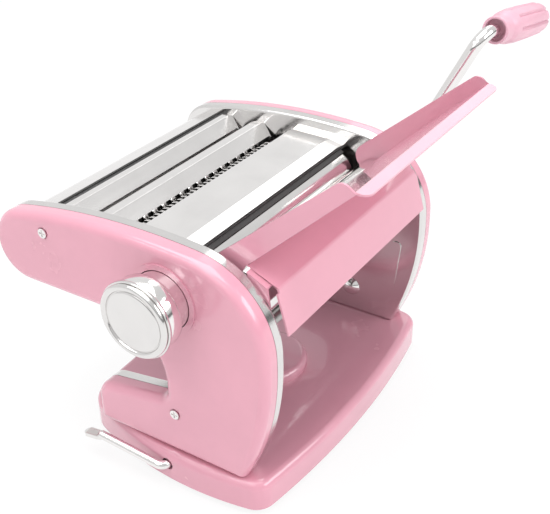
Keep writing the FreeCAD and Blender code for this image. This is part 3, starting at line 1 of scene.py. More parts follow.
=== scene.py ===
"""Dresses a hand-cranked pasta machine in enamel, steel and plastic and stands it in a plain studio."""

import json
import math

import bmesh
import bpy
from bpy.props import FloatProperty, FloatVectorProperty, PointerProperty
from bpy.types import Operator, Panel, PropertyGroup
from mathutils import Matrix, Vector


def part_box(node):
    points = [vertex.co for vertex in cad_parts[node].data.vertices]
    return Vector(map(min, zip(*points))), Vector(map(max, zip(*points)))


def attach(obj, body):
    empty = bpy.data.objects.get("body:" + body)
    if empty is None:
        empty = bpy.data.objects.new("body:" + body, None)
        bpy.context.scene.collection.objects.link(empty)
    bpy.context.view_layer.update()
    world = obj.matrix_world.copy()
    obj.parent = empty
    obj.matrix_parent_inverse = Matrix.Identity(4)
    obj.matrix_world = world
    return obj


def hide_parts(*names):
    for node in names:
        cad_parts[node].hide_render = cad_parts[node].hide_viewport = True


bl_info = {
    "name": "Pasta Machine Dressing",
    "version": (1, 0, 0),
    "blender": (4, 5, 0),
    "location": "View3D > Sidebar > Pasta Machine",
    "description": "Models the covers, tray, knob and crank of a pasta machine and gives them their finishes",
    "category": "Object",
}

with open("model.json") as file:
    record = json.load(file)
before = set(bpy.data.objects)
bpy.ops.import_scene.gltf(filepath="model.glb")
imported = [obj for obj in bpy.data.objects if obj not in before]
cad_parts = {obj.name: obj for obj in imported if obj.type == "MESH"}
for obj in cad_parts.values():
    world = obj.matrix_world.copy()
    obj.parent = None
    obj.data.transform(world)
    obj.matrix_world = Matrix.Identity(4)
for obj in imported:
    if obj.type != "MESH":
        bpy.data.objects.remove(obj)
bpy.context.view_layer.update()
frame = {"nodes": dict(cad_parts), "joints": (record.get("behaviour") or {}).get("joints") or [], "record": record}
MM = 0.001
FLOOR_GLOW = 0.86  # share of the floor's colour that is its own white
MERGE = 0.02 * MM  # points closer than this are one point
TOUCH = 0.1 * MM  # how near a point lies to the place it is looked for
STRIP_LEVEL = 145.4  # middle of the top covers' sheet, in millimetres


# ---------------------------------------------------------------- settings
class FinishSettings(PropertyGroup):
    enamel: FloatVectorProperty(
        name="Enamel", description="Colour of the enamelled steel", subtype="COLOR",
        default=(0.66, 0.305, 0.385), min=0, max=1)
    grip: FloatVectorProperty(
        name="Grip plastic", description="Colour of the crank's grip", subtype="COLOR",
        default=(0.66, 0.37, 0.45), min=0, max=1)
    steel: FloatVectorProperty(
        name="Polished steel", description="Colour of the polished steel", subtype="COLOR",
        default=(0.86, 0.845, 0.835), min=0, max=1)
    plain: FloatVectorProperty(
        name="Plain steel", description="Colour of the inner steel parts", subtype="COLOR",
        default=(0.46, 0.45, 0.44), min=0, max=1)
    enamel_roughness: FloatProperty(
        name="Enamel roughness", description="How matt the enamel is", subtype="FACTOR",
        default=0.22, min=0.02, max=1)
    steel_roughness: FloatProperty(
        name="Steel roughness", description="How matt the polished steel is", subtype="FACTOR",
        default=0.11, min=0.02, max=1)


class StageSettings(PropertyGroup):
    floor: FloatVectorProperty(
        name="Floor", description="Colour of the studio floor", subtype="COLOR",
        default=(0.93, 0.93, 0.93), min=0, max=1)
    room_light: FloatProperty(
        name="Room light", description="Strength of the light from all round",
        default=0.66, min=0, max=2)
    top_light: FloatProperty(
        name="Top light", description="Power of the soft box overhead, in watts",
        default=18.0, min=0, max=100)
    front_light: FloatProperty(
        name="Front light", description="Power of the soft box in front, in watts",
        default=12.0, min=0, max=100)
    right_light: FloatProperty(
        name="Right light", description="Power of the soft box on the crank's side, in watts",
        default=1.9, min=0, max=100)


class SheetSettings(PropertyGroup):
    sheet: FloatProperty(
        name="Sheet", description="Thickness of the tray and the covers", unit="LENGTH",
        default=1.1 * MM, min=0.5 * MM, max=2 * MM)
    fold_radius: FloatProperty(
        name="Fold radius", description="Rounding of the tray's folds", unit="LENGTH",
        default=0.8 * MM, min=0.3 * MM, max=4 * MM)
    lip_corner: FloatProperty(
        name="Lip corner", description="Rounding of the lip's corners", unit="LENGTH",
        default=5.0 * MM, min=1 * MM, max=6 * MM)


# ---------------------------------------------------------------- shader groups
def new_group(name, inputs, outputs):
    """An empty shader group with named sockets; returns it and its two end nodes."""
    tree = bpy.data.node_groups.new(name, "ShaderNodeTree")
    for label, kind, value in inputs:
        socket = tree.interface.new_socket(name=label, in_out="INPUT", socket_type=kind)
        if value is not None:
            socket.default_value = value
    for label, kind in outputs:
        tree.interface.new_socket(name=label, in_out="OUTPUT", socket_type=kind)
    start = tree.nodes.new("NodeGroupInput")
    end = tree.nodes.new("NodeGroupOutput")
    return tree, start, end


def add(tree, kind, **settings):
    """A node with some of its properties and input values set."""
    node = tree.nodes.new("ShaderNode" + kind)
    for key, value in settings.items():
        if hasattr(node, key):
            setattr(node, key, value)
        else:
            node.inputs[key.replace("_", " ")].default_value = value
    return node


def wear_group():
    """Soft cloudy marks from hands and cloths, as a mask and a colour multiplier."""
    tree, start, end = new_group(
        "Handling marks", (("Vector", "NodeSocketVector", None), ("Size", "NodeSocketFloat", 18.0)),
        (("Mask", "NodeSocketFloat"),))
    cloud = add(tree, "TexNoise", Detail=4.0, Roughness=0.6)
    spread = add(tree, "MapRange", From_Min=0.35, From_Max=0.7)
    tree.links.new(start.outputs["Vector"], cloud.inputs["Vector"])
    tree.links.new(start.outputs["Size"], cloud.inputs["Scale"])
    tree.links.new(cloud.outputs["Fac"], spread.inputs["Value"])
    tree.links.new(spread.outputs["Result"], end.inputs["Mask"])
    return tree


def peel_group():
    """The faint ripple of sprayed enamel."""
    tree, start, end = new_group(
        "Spray ripple", (("Vector", "NodeSocketVector", None), ("Size", "NodeSocketFloat", 260.0)),
        (("Height", "NodeSocketFloat"),))
    ripple = add(tree, "TexNoise", Detail=1.0)
    tree.links.new(start.outputs["Vector"], ripple.inputs["Vector"])
    tree.links.new(start.outputs["Size"], ripple.inputs["Scale"])
    tree.links.new(ripple.outputs["Fac"], end.inputs["Height"])
    return tree


def brushed_group():
    """Fine parallel lines left by a polishing belt, running along the stretched axis."""
    tree, start, end = new_group(
        "Belt lines", (("Vector", "NodeSocketVector", None), ("Size", "NodeSocketFloat", 900.0)),
        (("Height", "NodeSocketFloat"), ("Mask", "NodeSocketFloat")))
    fine = add(tree, "TexNoise", Detail=3.0, Roughness=0.7)
    broad = add(tree, "TexNoise", Detail=1.0)
    third = add(tree, "Math", operation="MULTIPLY")
    third.inputs[1].default_value = 0.3
    tree.links.new(start.outputs["Vector"], fine.inputs["Vector"])
    tree.links.new(start.outputs["Size"], fine.inputs["Scale"])
    tree.links.new(start.outputs["Size"], third.inputs[0])
    tree.links.new(start.outputs["Vector"], broad.inputs["Vector"])
    tree.links.new(third.outputs[0], broad.inputs["Scale"])
    tree.links.new(fine.outputs["Fac"], end.inputs["Height"])
    tree.links.new(broad.outputs["Fac"], end.inputs["Mask"])
    return tree


GROUPS = {}
FINISHES = {}


def group_node(tree, name, vector, size):
    node = tree.nodes.new("ShaderNodeGroup")
    node.node_tree = GROUPS[name]
    node.inputs["Size"].default_value = size
    tree.links.new(vector, node.inputs["Vector"])
    return node


def new_finish(name):
    """A material with a Principled shader and Object coordinates through a Mapping node."""
    material = bpy.data.materials.new(name)
    material.use_nodes = True
    tree = material.node_tree
    shader = tree.nodes["Principled BSDF"]
    place = add(tree, "TexCoord")
    stretch = add(tree, "Mapping")
    tree.links.new(place.outputs["Object"], stretch.inputs["Vector"])
    FINISHES[name] = material
    return tree, shader, place.outputs["Object"], stretch


def blend_colour(tree, shader, mask, low, high):
    """Base colour that drifts between two near tones."""
    mix = add(tree, "Mix", data_type="RGBA")
    mix.inputs[6].default_value = (*low, 1)
    mix.inputs[7].default_value = (*high, 1)
    tree.links.new(mask, mix.inputs[0])
    tree.links.new(mix.outputs[2], shader.inputs["Base Color"])


def blend_value(tree, socket, mask, low, high):
    drift = add(tree, "MapRange", To_Min=low, To_Max=high)
    tree.links.new(mask, drift.inputs["Value"])
    tree.links.new(drift.outputs["Result"], socket)


def bumped(tree, shader, height, strength, distance):
    bump = add(tree, "Bump", Strength=strength, Distance=distance)
    tree.links.new(height, bump.inputs["Height"])
    tree.links.new(bump.outputs["Normal"], shader.inputs["Normal"])


def tone(colour, factor):
    return tuple(min(1.0, channel * factor) for channel in colour)


def make_enamel(name, colour, roughness):
    tree, shader, place, _ = new_finish(name)
    marks = group_node(tree, "Handling marks", place, 22.0)
    ripple = group_node(tree, "Spray ripple", place, 240.0)
    blend_colour(tree, shader, marks.outputs["Mask"], tone(colour, 1.02), tone(colour, 0.96))
    blend_value(tree, shader.inputs["Roughness"], marks.outputs["Mask"],
                roughness, roughness + 0.06)
    bumped(tree, shader, ripple.outputs["Height"], 0.06, 0.0004)
    shader.inputs["Coat Weight"].default_value = 0.8
    shader.inputs["Coat Roughness"].default_value = 0.05


def make_steel(name, colour, roughness, lines, stretch_by):
    """Steel polished along one axis; lines sets how much of the belt's marks are left."""
    tree, shader, place, stretch = new_finish(name)
    stretch.inputs["Scale"].default_value = stretch_by
    belt = group_node(tree, "Belt lines", stretch.outputs["Vector"], 900.0)
    marks = group_node(tree, "Handling marks", place, 30.0)
    blend_colour(tree, shader, marks.outputs["Mask"], tone(colour, 1.03), tone(colour, 0.95))
    blend_value(tree, shader.inputs["Roughness"], belt.outputs["Mask"],
                roughness * 0.75, roughness * 1.35)
    bumped(tree, shader, belt.outputs["Height"], lines, 0.0002)
    shader.inputs["Metallic"].default_value = 1.0


def make_turned(name, colour, roughness):
    """Steel polished on a lathe: faint rings round the knob's axis."""
    low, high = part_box("knob_ring")
    tree, shader, place, stretch = new_finish(name)
    stretch.inputs["Location"].default_value = (0, -(low.y + high.y) / 2, -(low.z + high.z) / 2)
    split = add(tree, "SeparateXYZ")
    flat = add(tree, "CombineXYZ")
    reach = add(tree, "VectorMath", operation="LENGTH")
    ring = add(tree, "CombineXYZ")
    tree.links.new(stretch.outputs["Vector"], split.inputs[0])
    tree.links.new(split.outputs["Y"], flat.inputs["Y"])
    tree.links.new(split.outputs["Z"], flat.inputs["Z"])
    tree.links.new(flat.outputs["Vector"], reach.inputs[0])
    tree.links.new(reach.outputs["Value"], ring.inputs["X"])
    belt = group_node(tree, "Belt lines", ring.outputs["Vector"], 2500.0)
    marks = group_node(tree, "Handling marks", place, 30.0)
    blend_colour(tree, shader, marks.outputs["Mask"], tone(colour, 1.03), tone(colour, 0.96))
    blend_value(tree, shader.inputs["Roughness"], belt.outputs["Mask"],
                roughness * 0.7, roughness * 1.3)
    bumped(tree, shader, belt.outputs["Height"], 0.05, 0.0002)
    shader.inputs["Metallic"].default_value = 1.0


def make_moulded(name, colour, roughness, grain):
    tree, shader, place, _ = new_finish(name)
    marks = group_node(tree, "Handling marks", place, 40.0)
    ripple = group_node(tree, "Spray ripple", place, 900.0)
    blend_colour(tree, shader, marks.outputs["Mask"], tone(colour, 1.03), tone(colour, 0.94))
    blend_value(tree, shader.inputs["Roughness"], marks.outputs["Mask"],
                roughness, roughness + 0.1)
    bumped(tree, shader, ripple.outputs["Height"], grain, 0.0004)


def make_finishes():
    settings = bpy.context.scene.pasta_finish
    GROUPS["Handling marks"] = wear_group()
    GROUPS["Spray ripple"] = peel_group()
    GROUPS["Belt lines"] = brushed_group()
    make_enamel("pink enamel", tuple(settings.enamel), settings.enamel_roughness)
    make_moulded("pink plastic", tuple(settings.grip), 0.3, 0.1)
    steel = tuple(settings.steel)
    make_steel("mirror steel", steel, settings.steel_roughness, 0.03, (0.02, 1, 1))
    make_steel("sheet steel", tone(steel, 1.04), settings.steel_roughness * 1.6, 0.08,
               (0.02, 1, 1))
    make_steel("plate steel", tone(steel, 0.91), settings.steel_roughness * 1.3, 0.05,
               (1, 0.03, 1))
    make_steel("plain steel", tuple(settings.plain), 0.34, 0.12, (0.1, 1, 1))
    make_steel("cutter steel", steel, 0.2, 0.05, (1, 0.2, 0.2))
    # Near-black steel for the cutters' grooves and ring sides: painted shade between the rings.
    make_steel("cutter shade", (0.035, 0.033, 0.032), 0.5, 0.2, (1, 0.2, 0.2))
    make_turned("turned steel", tone(steel, 0.88), settings.steel_roughness * 1.5)
    make_moulded("black plastic", (0.03, 0.03, 0.03), 0.45, 0.15)
    make_moulded("rubber", (0.035, 0.034, 0.034), 0.7, 0.3)


FINISH_OF_SLOT = {
    "pink_enamel": "pink enamel", "pink_plastic": "pink plastic",
    "polished_steel": "mirror steel", "brushed_steel": "sheet steel",
    "plain_steel": "plain steel", "black_plastic": "black plastic", "rubber": "rubber",
}
FINISH_OF_NODE = {"side_plate_left": "plate steel", "side_plate_right": "plate steel"}


# ---------------------------------------------------------------- operators
class PASTA_OT_stage(Operator):
    """Set up the pale floor, the soft lights and the camera"""
    bl_idname = "pasta.stage"
    bl_label = "Stage"

    def execute(self, context):
        settings = context.scene.pasta_stage
        make_floor(tuple(settings.floor))
        make_world(settings.room_light)
        soft_box("top box", (-0.1, 0.1, 1.5), (0, 0, 0.08), 1.3, 1.3, settings.top_light)
        soft_box("front box", (0.3, -1.35, 0.95), (0, 0, 0.1), 1.3, 0.7, settings.front_light)
        soft_box("left box", (-1.5, 0.2, 0.9), (0, 0, 0.08), 0.9, 0.6, 1.3)
        soft_box("right box", (1.334, 0.308, 1.24), (0, -0.03, 0.15), 0.55, 1.0, settings.right_light)
        soft_box("strip", (-0.75, 0.15, 0.95), (-0.09, 0, 0.12), 1.2, 0.10, 2.2)
        camera = bpy.data.cameras.new("camera")
        camera.sensor_width = 36.0
        camera.lens = 61.62
        view = bpy.data.objects.new("camera", camera)
        view.location = (-0.39817, -0.27466, 0.38621)
        view.rotation_euler = [math.radians(a) for a in (59.0398, 0.8752, -57.4284)]
        context.scene.collection.objects.link(view)
        context.scene.camera = view
        context.scene.view_settings.view_transform = "Standard"
        return {"FINISHED"}


def make_floor(colour):
    """A wide floor that looks near white and still takes the machine's shadow."""
    deselect()
    bpy.ops.mesh.primitive_plane_add(size=8, location=(0, 0, -0.0002))
    floor = bpy.context.object
    floor.name = "floor"
    material = bpy.data.materials.new("floor")
    material.use_nodes = True
    tree = material.node_tree
    shader = tree.nodes["Principled BSDF"]
    shader.inputs["Base Color"].default_value = (*colour, 1)
    shader.inputs["Roughness"].default_value = 0.7
    shader.inputs["Specular IOR Level"].default_value = 0.1
    glow = add(tree, "Emission", Color=(1, 1, 1, 1), Strength=1.0)
    rays = add(tree, "LightPath")
    share = add(tree, "Math", operation="MULTIPLY")
    share.inputs[1].default_value = FLOOR_GLOW
    seen = add(tree, "Math", operation="MAXIMUM")
    mix = tree.nodes.new("ShaderNodeMixShader")
    tree.links.new(rays.outputs["Is Camera Ray"], seen.inputs[0])
    tree.links.new(rays.outputs["Is Glossy Ray"], seen.inputs[1])
    tree.links.new(seen.outputs[0], share.inputs[0])
    tree.links.new(share.outputs[0], mix.inputs[0])
    tree.links.new(shader.outputs[0], mix.inputs[1])
    tree.links.new(glow.outputs[0], mix.inputs[2])
    tree.links.new(mix.outputs[0], tree.nodes["Material Output"].inputs["Surface"])
    floor.data.materials.append(material)


def make_world(strength):
    """Soft light from all round; mirrors see a pale room with a darker skirting."""
    world = bpy.data.worlds.new("studio")
    bpy.context.scene.world = world
    world.use_nodes = True
    tree = world.node_tree
    light = tree.nodes["Background"]
    light.inputs["Color"].default_value = (1, 1, 1, 1)
    light.inputs["Strength"].default_value = strength
    seen = add(tree, "Background", Color=(1, 1, 1, 1))
    rays = add(tree, "LightPath")
    place = add(tree, "TexCoord")
    split = add(tree, "SeparateXYZ")
    depth = add(tree, "MapRange", From_Min=-0.7, From_Max=0.6, To_Min=0.69, To_Max=0.85)
    band = add(tree, "MapRange", From_Min=0.1, From_Max=0.14, To_Min=0.25, To_Max=1.0)
    behind = add(tree, "MapRange", From_Min=0.3, From_Max=0.6)
    brighter = add(tree, "Math", operation="MAXIMUM")
    fade = add(tree, "Math", operation="MULTIPLY")
    tree.links.new(place.outputs["Generated"], split.inputs[0])
    tree.links.new(split.outputs["Z"], band.inputs["Value"])
    tree.links.new(split.outputs["Y"], depth.inputs["Value"])
    tree.links.new(split.outputs["Y"], behind.inputs["Value"])
    tree.links.new(band.outputs["Result"], brighter.inputs[0])
    tree.links.new(behind.outputs["Result"], brighter.inputs[1])
    tree.links.new(brighter.outputs[0], fade.inputs[0])
    tree.links.new(depth.outputs["Result"], fade.inputs[1])
    pale = add(tree, "Math", operation="MAXIMUM")
    tree.links.new(fade.outputs[0], pale.inputs[0])
    tree.links.new(rays.outputs["Is Camera Ray"], pale.inputs[1])
    tree.links.new(pale.outputs[0], seen.inputs["Strength"])
    either = add(tree, "Math", operation="MAXIMUM")
    any_ray = add(tree, "Math", operation="MAXIMUM")
    tree.links.new(rays.outputs["Is Camera Ray"], either.inputs[0])
    tree.links.new(rays.outputs["Is Glossy Ray"], either.inputs[1])
    tree.links.new(either.outputs[0], any_ray.inputs[0])
    tree.links.new(rays.outputs["Is Transmission Ray"], any_ray.inputs[1])
    mix = tree.nodes.new("ShaderNodeMixShader")
    tree.links.new(any_ray.outputs[0], mix.inputs[0])
    tree.links.new(light.outputs[0], mix.inputs[1])
    tree.links.new(seen.outputs[0], mix.inputs[2])
    tree.links.new(mix.outputs[0], tree.nodes["World Output"].inputs["Surface"])


def soft_box(name, location, target, width, height, power):
    lamp = bpy.data.lights.new(name, "AREA")
    lamp.shape = "RECTANGLE"
    lamp.size, lamp.size_y = width, height
    lamp.energy = power
    box = bpy.data.objects.new(name, lamp)
    box.location = location
    aim = Vector(target) - Vector(location)
    box.rotation_euler = aim.to_track_quat("-Z", "Y").to_euler()
    bpy.context.scene.collection.objects.link(box)


class PASTA_OT_finishes(Operator):
    """Build the finishes and give one to every solid of the frame"""
    bl_idname = "pasta.finishes"
    bl_label = "Finishes"

    def execute(self, context):
        make_finishes()
        slots = {part["node"]: part["material_slot"] for part in frame["record"]["subparts"]}
        for name, node in frame["nodes"].items():
            finish = FINISH_OF_NODE.get(name, FINISH_OF_SLOT[slots[name]])
            node.data.materials.clear()
            node.data.materials.append(FINISHES[finish])
        return {"FINISHED"}


# ---------------------------------------------------------------- modelling by hand
def deselect():
    if bpy.context.object and bpy.context.object.mode != "OBJECT":
        bpy.ops.object.mode_set(mode="OBJECT")
    bpy.ops.object.select_all(action="DESELECT")


def take(piece):
    """Make a piece the only one that is chosen."""
    deselect()
    piece.select_set(True)
    bpy.context.view_layer.objects.active = piece


def start_vertex(name, place):
    """A new mesh of one vertex, left in edit mode to be extruded."""
    deselect()
    bpy.ops.mesh.primitive_plane_add(size=2 * MM, location=place)
    piece = bpy.context.object
    piece.name = piece.data.name = name
    bpy.ops.object.transform_apply(location=True, rotation=True, scale=True)
    bpy.ops.object.mode_set(mode="EDIT")
    bpy.ops.mesh.select_mode(type="VERT")
    bpy.ops.mesh.select_all(action="SELECT")
    bpy.ops.mesh.merge(type="CENTER")
    return piece


def draw(points):
    """Extrude the chosen vertex through the points, the first of which it stands on."""
    for before, after in zip(points, points[1:]):
        step = Vector(after) - Vector(before)
        bpy.ops.mesh.extrude_vertices_move(TRANSFORM_OT_translate={"value": step})


def carry(step):
    """Extrude all that is chosen along a step."""
    bpy.ops.mesh.extrude_region_move(TRANSFORM_OT_translate={"value": step})


def spin_about(centre, steps, axis=(1, 0, 0)):
    """Turn the whole line about an axis and close the seam."""
    bpy.ops.mesh.select_all(action="SELECT")
    bpy.ops.mesh.spin(steps=steps, angle=math.tau, center=centre, axis=axis)
    clean_up()


def clean_up():
    bpy.ops.mesh.select_all(action="SELECT")
    bpy.ops.mesh.remove_doubles(threshold=MERGE)
    bpy.ops.mesh.normals_make_consistent(inside=False)


def choose(piece, kind, test):
    """Select the vertices, edges or faces that pass the test, given their middles."""
    bpy.ops.mesh.select_mode(type={"verts": "VERT", "edges": "EDGE", "faces": "FACE"}[kind])
    bpy.ops.mesh.select_all(action="DESELECT")
    shape = bmesh.from_edit_mesh(piece.data)
    for item in getattr(shape, kind):
        corners = [item] if kind == "verts" else item.verts
        middle = sum((corner.co for corner in corners), Vector()) / len(corners)
        if test(item, middle):
            item.select_set(True)
    bmesh.update_edit_mesh(piece.data)


def soften_folds(piece, radius, steps=3, least=0.25):
    """Round every fold between two faces of a sheet or the edges of a solid."""
    choose(piece, "edges", lambda edge, middle: len(edge.link_faces) == 2
           and edge.calc_face_angle() > least)
    bpy.ops.mesh.bevel(offset=radius, segments=steps, affect="EDGES")


def modify(piece, kind, **settings):
    """Add a modifier, set it up and apply it."""
    take(piece)
    bpy.ops.object.modifier_add(type=kind)
    modifier = piece.modifiers[-1]
    for key, value in settings.items():
        setattr(modifier, key, value)
    bpy.ops.object.modifier_apply(modifier=modifier.name)


def finish_piece(piece, body, finishes, nodes=(), smooth=35, flat=False):
    """Shade a piece, give it its finishes and let it ride in place of its solids.
    Flat sheets keep their faces evenly lit right up to the folds."""
    take(piece)
    bpy.ops.object.shade_smooth_by_angle(angle=math.radians(smooth))
    if flat:
        modify(piece, "WEIGHTED_NORMAL", keep_sharp=True, weight=100)
    for finish in finishes:
        piece.data.materials.append(FINISHES[finish])
    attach(piece, body)
    if nodes:
        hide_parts(*nodes)


# ---------------------------------------------------------------- the machine's pieces
class PASTA_OT_dough_tray(Operator):
    """Fold the dough tray from one sheet: apron, trough, ramp, lip and side flanges"""
    bl_idname = "pasta.dough_tray"
    bl_label = "Dough tray"

    def execute(self, context):
        settings = context.scene.pasta_sheet
        low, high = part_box("dough_tray")
        half = high.x - 1.9 * MM
        apron, step, knee = (-73.0, 113.3), (-66.8, 135.8), (-66.2, 137.9)
        trough, fold, lip = (-48.1, 146.1), (-106.9, 200.6), (-113.0, 199.8)
        line = [(-half, y * MM, z * MM) for y, z in (apron, step, knee, trough, fold, lip)]
        tray = start_vertex("tray_sheet", line[0])
        draw(line)
        bpy.ops.mesh.select_all(action="SELECT")
        carry((half * 2, 0, 0))
        choose(tray, "verts", lambda vert, middle: middle.y < -112.9 * MM)
        bpy.ops.mesh.bevel(offset=settings.lip_corner, segments=8, affect="VERTICES")
        for side in (-1, 1):
            self.widen_apron(tray, side, half)
            self.add_flange(tray, side, half)
        clean_up()
        soften_folds(tray, settings.fold_radius)
        clean_up()
        bpy.ops.object.mode_set(mode="OBJECT")
        modify(tray, "SOLIDIFY", thickness=settings.sheet, offset=0.0)
        finish_piece(tray, "tray", ["pink enamel"], ["dough_tray"], 35, True)
        return {"FINISHED"}

    def widen_apron(self, tray, side, half):
        """The apron stands a little wider than the trough above it."""
        choose(tray, "edges", lambda edge, middle: abs(middle.x - side * half) < TOUCH
               and middle.z < 130 * MM)
        carry((side * 1.6 * MM, 0, 0))

    def add_flange(self, tray, side, half):
        """A side flange that grows along the ramp and ends in a rounded ear."""
        x, ear, reach = side * half, Vector((0, -35.2, 140.0)), 8.5
        outline = [(-48.1, 146.1), (-42.0, 134.9)]
        for step in range(1, 13):
            angle = math.radians(217 + 190 * step / 12)
            outline.append((ear.y + reach * math.cos(angle), ear.z + reach * math.sin(angle)))
        outline += [(-100.5, 205.5), (-106.9, 200.6)]
        points = [Vector((x, y * MM, z * MM)) for y, z in outline]
        choose(tray, "verts", lambda vert, middle: near(middle, points[:1]))
        draw(points)
        bpy.ops.mesh.select_all(action="SELECT")
        bpy.ops.mesh.remove_doubles(threshold=MERGE)
        choose(tray, "verts", lambda vert, middle: near(middle, points))
        bpy.ops.mesh.edge_face_add()
        choose(tray, "verts", lambda vert, middle: near(middle, points[-2:-1]))
        bpy.ops.mesh.bevel(offset=4 * MM, segments=6, affect="VERTICES")


def near(place, points):
    return min((place - point).length for point in points) < 0.05 * MM


class PASTA_OT_knob(Operator):
    """Turn the thickness knob's ring, cap and shell"""
    bl_idname = "pasta.knob"
    bl_label = "Knob"

    def execute(self, context):
        face, face_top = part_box("knob_ring")
        end, radius = face.x, (face_top.z - face.z) / 2
        centre = Vector((0, (face.y + face_top.y) / 2, (face.z + face_top.z) / 2))
        ring = ((1.15, 0), (1.15, 17.2), (0.55, 17.55), (0.12, 18.0), (0.0, 18.6), (0.05, 19.3),
                (0.3, 20.0), (0.75, 20.5), (1.25, 20.75), (1.7, 20.8), (1.85, 20.7), (1.9, 20.2),
                (2.4, 20.2), (2.45, 21.1), (2.6, 21.45), (2.95, 21.6), (3.95, 21.6), (4.3, 21.45),
                (4.45, 21.1), (4.5, 20.0), (5.0, 20.0), (5.0, 0))
        cap = ((0.1, 0), (0.12, 6), (0.2, 12), (0.32, 15.4), (0.5, 16.3), (0.85, 16.75),
               (1.1, 16.8), (1.1, 0))
        self.turn("knob_bezel", ring, end, centre, ["turned steel"], ["knob_ring"])
        self.turn("knob_disc", cap, end, centre, ["turned steel"], ["knob_cap"])
        shell = ((5.0, 14), (5.0, 19.6), (5.12, 20.1), (5.5, 20.4), (12.6, 20.4), (13.0, 20.25),
                 (13.1, 19.6), (13.5, 19.6), (13.6, 19.9), (14.9, 19.7), (15.4, 19.2),
                 (15.55, 18.4), (15.6, 16.3), (16.2, 16.2), (16.35, 16.8), (22.4, 16.8),
                 (22.4, 16.8), (26.4, 16.8), (26.4, 14))
        self.turn("knob_barrel", shell, end, centre, ["mirror steel"], ["knob_shell"])
        return {"FINISHED"}

    def turn(self, name, profile, end, centre, finishes, nodes):
        """Turn a profile of (depth behind the face, radius) pairs, in millimetres."""
        line = [Vector((end + x * MM, centre.y, centre.z + r * MM)) for x, r in profile]
        piece = start_vertex(name, line[0])
        draw(line)
        if profile[0][1] > 0:
            draw([line[-1], line[0]])
        spin_about(centre, 96)
        finish_piece(piece, "knob", finishes, nodes, 40)


class PASTA_OT_cutters(Operator):
    """Turn the grooved cutter rollers: one ring and its groove, repeated along each roller"""
    bl_idname = "pasta.cutters"
    bl_label = "Cutters"

    def execute(self, context):
        for name, strip in (("wide", 4.2), ("narrow", 2.1)):
            for end in ("front", "rear"):
                self.turn_cutter(name + "_cutter_" + end, strip, end == "rear", name + "_" + end)
        return {"FINISHED"}

    def turn_cutter(self, node, strip, shifted, body):
        """One roller's rings; a shifted roller's rings run in its partner's grooves."""
        low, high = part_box(node)
        centre = (low + high) / 2
        centre.x = 0
        crest, groove, play, half = 6.94, 5.35, 0.11, 73.5
        rounded, chamfer = 0.22, 0.06
        count = int((half * 2 - strip) / (strip * 2))
        first = -strip * count + (strip if shifted else 0) + play / 2
        width = strip - play
        line = [(0, groove), (0, crest - rounded), (chamfer, crest - chamfer), (rounded, crest),
                (width - rounded, crest), (width - chamfer, crest - chamfer),
                (width, crest - rounded), (width, groove), (strip * 2, groove)]
        line = [Vector(((first + x) * MM, centre.y, centre.z + r * MM)) for x, r in line]
        piece = start_vertex(node + "_rings", line[0])
        draw(line)
        spin_about(centre, 40)
        bpy.ops.object.mode_set(mode="OBJECT")
        modify(piece, "ARRAY", count=count, use_relative_offset=False, use_constant_offset=True,
               constant_offset_displace=(strip * 2 * MM, 0, 0), use_merge_vertices=True,
               merge_threshold=MERGE)
        bpy.ops.object.mode_set(mode="EDIT")
        bpy.ops.mesh.select_all(action="SELECT")
        bpy.ops.mesh.fill_holes(sides=0)
        clean_up()
        bpy.ops.object.mode_set(mode="OBJECT")
        finish_piece(piece, body, ["cutter steel", "cutter shade"], (), 35)
        # Faces below the crests take the near-black steel: painted shade in the grooves.
        for face in piece.data.polygons:
            off = Vector((0, face.center.y - centre.y, face.center.z - centre.z)).length
            face.material_index = 0 if off > (crest - 0.35) * MM else 1


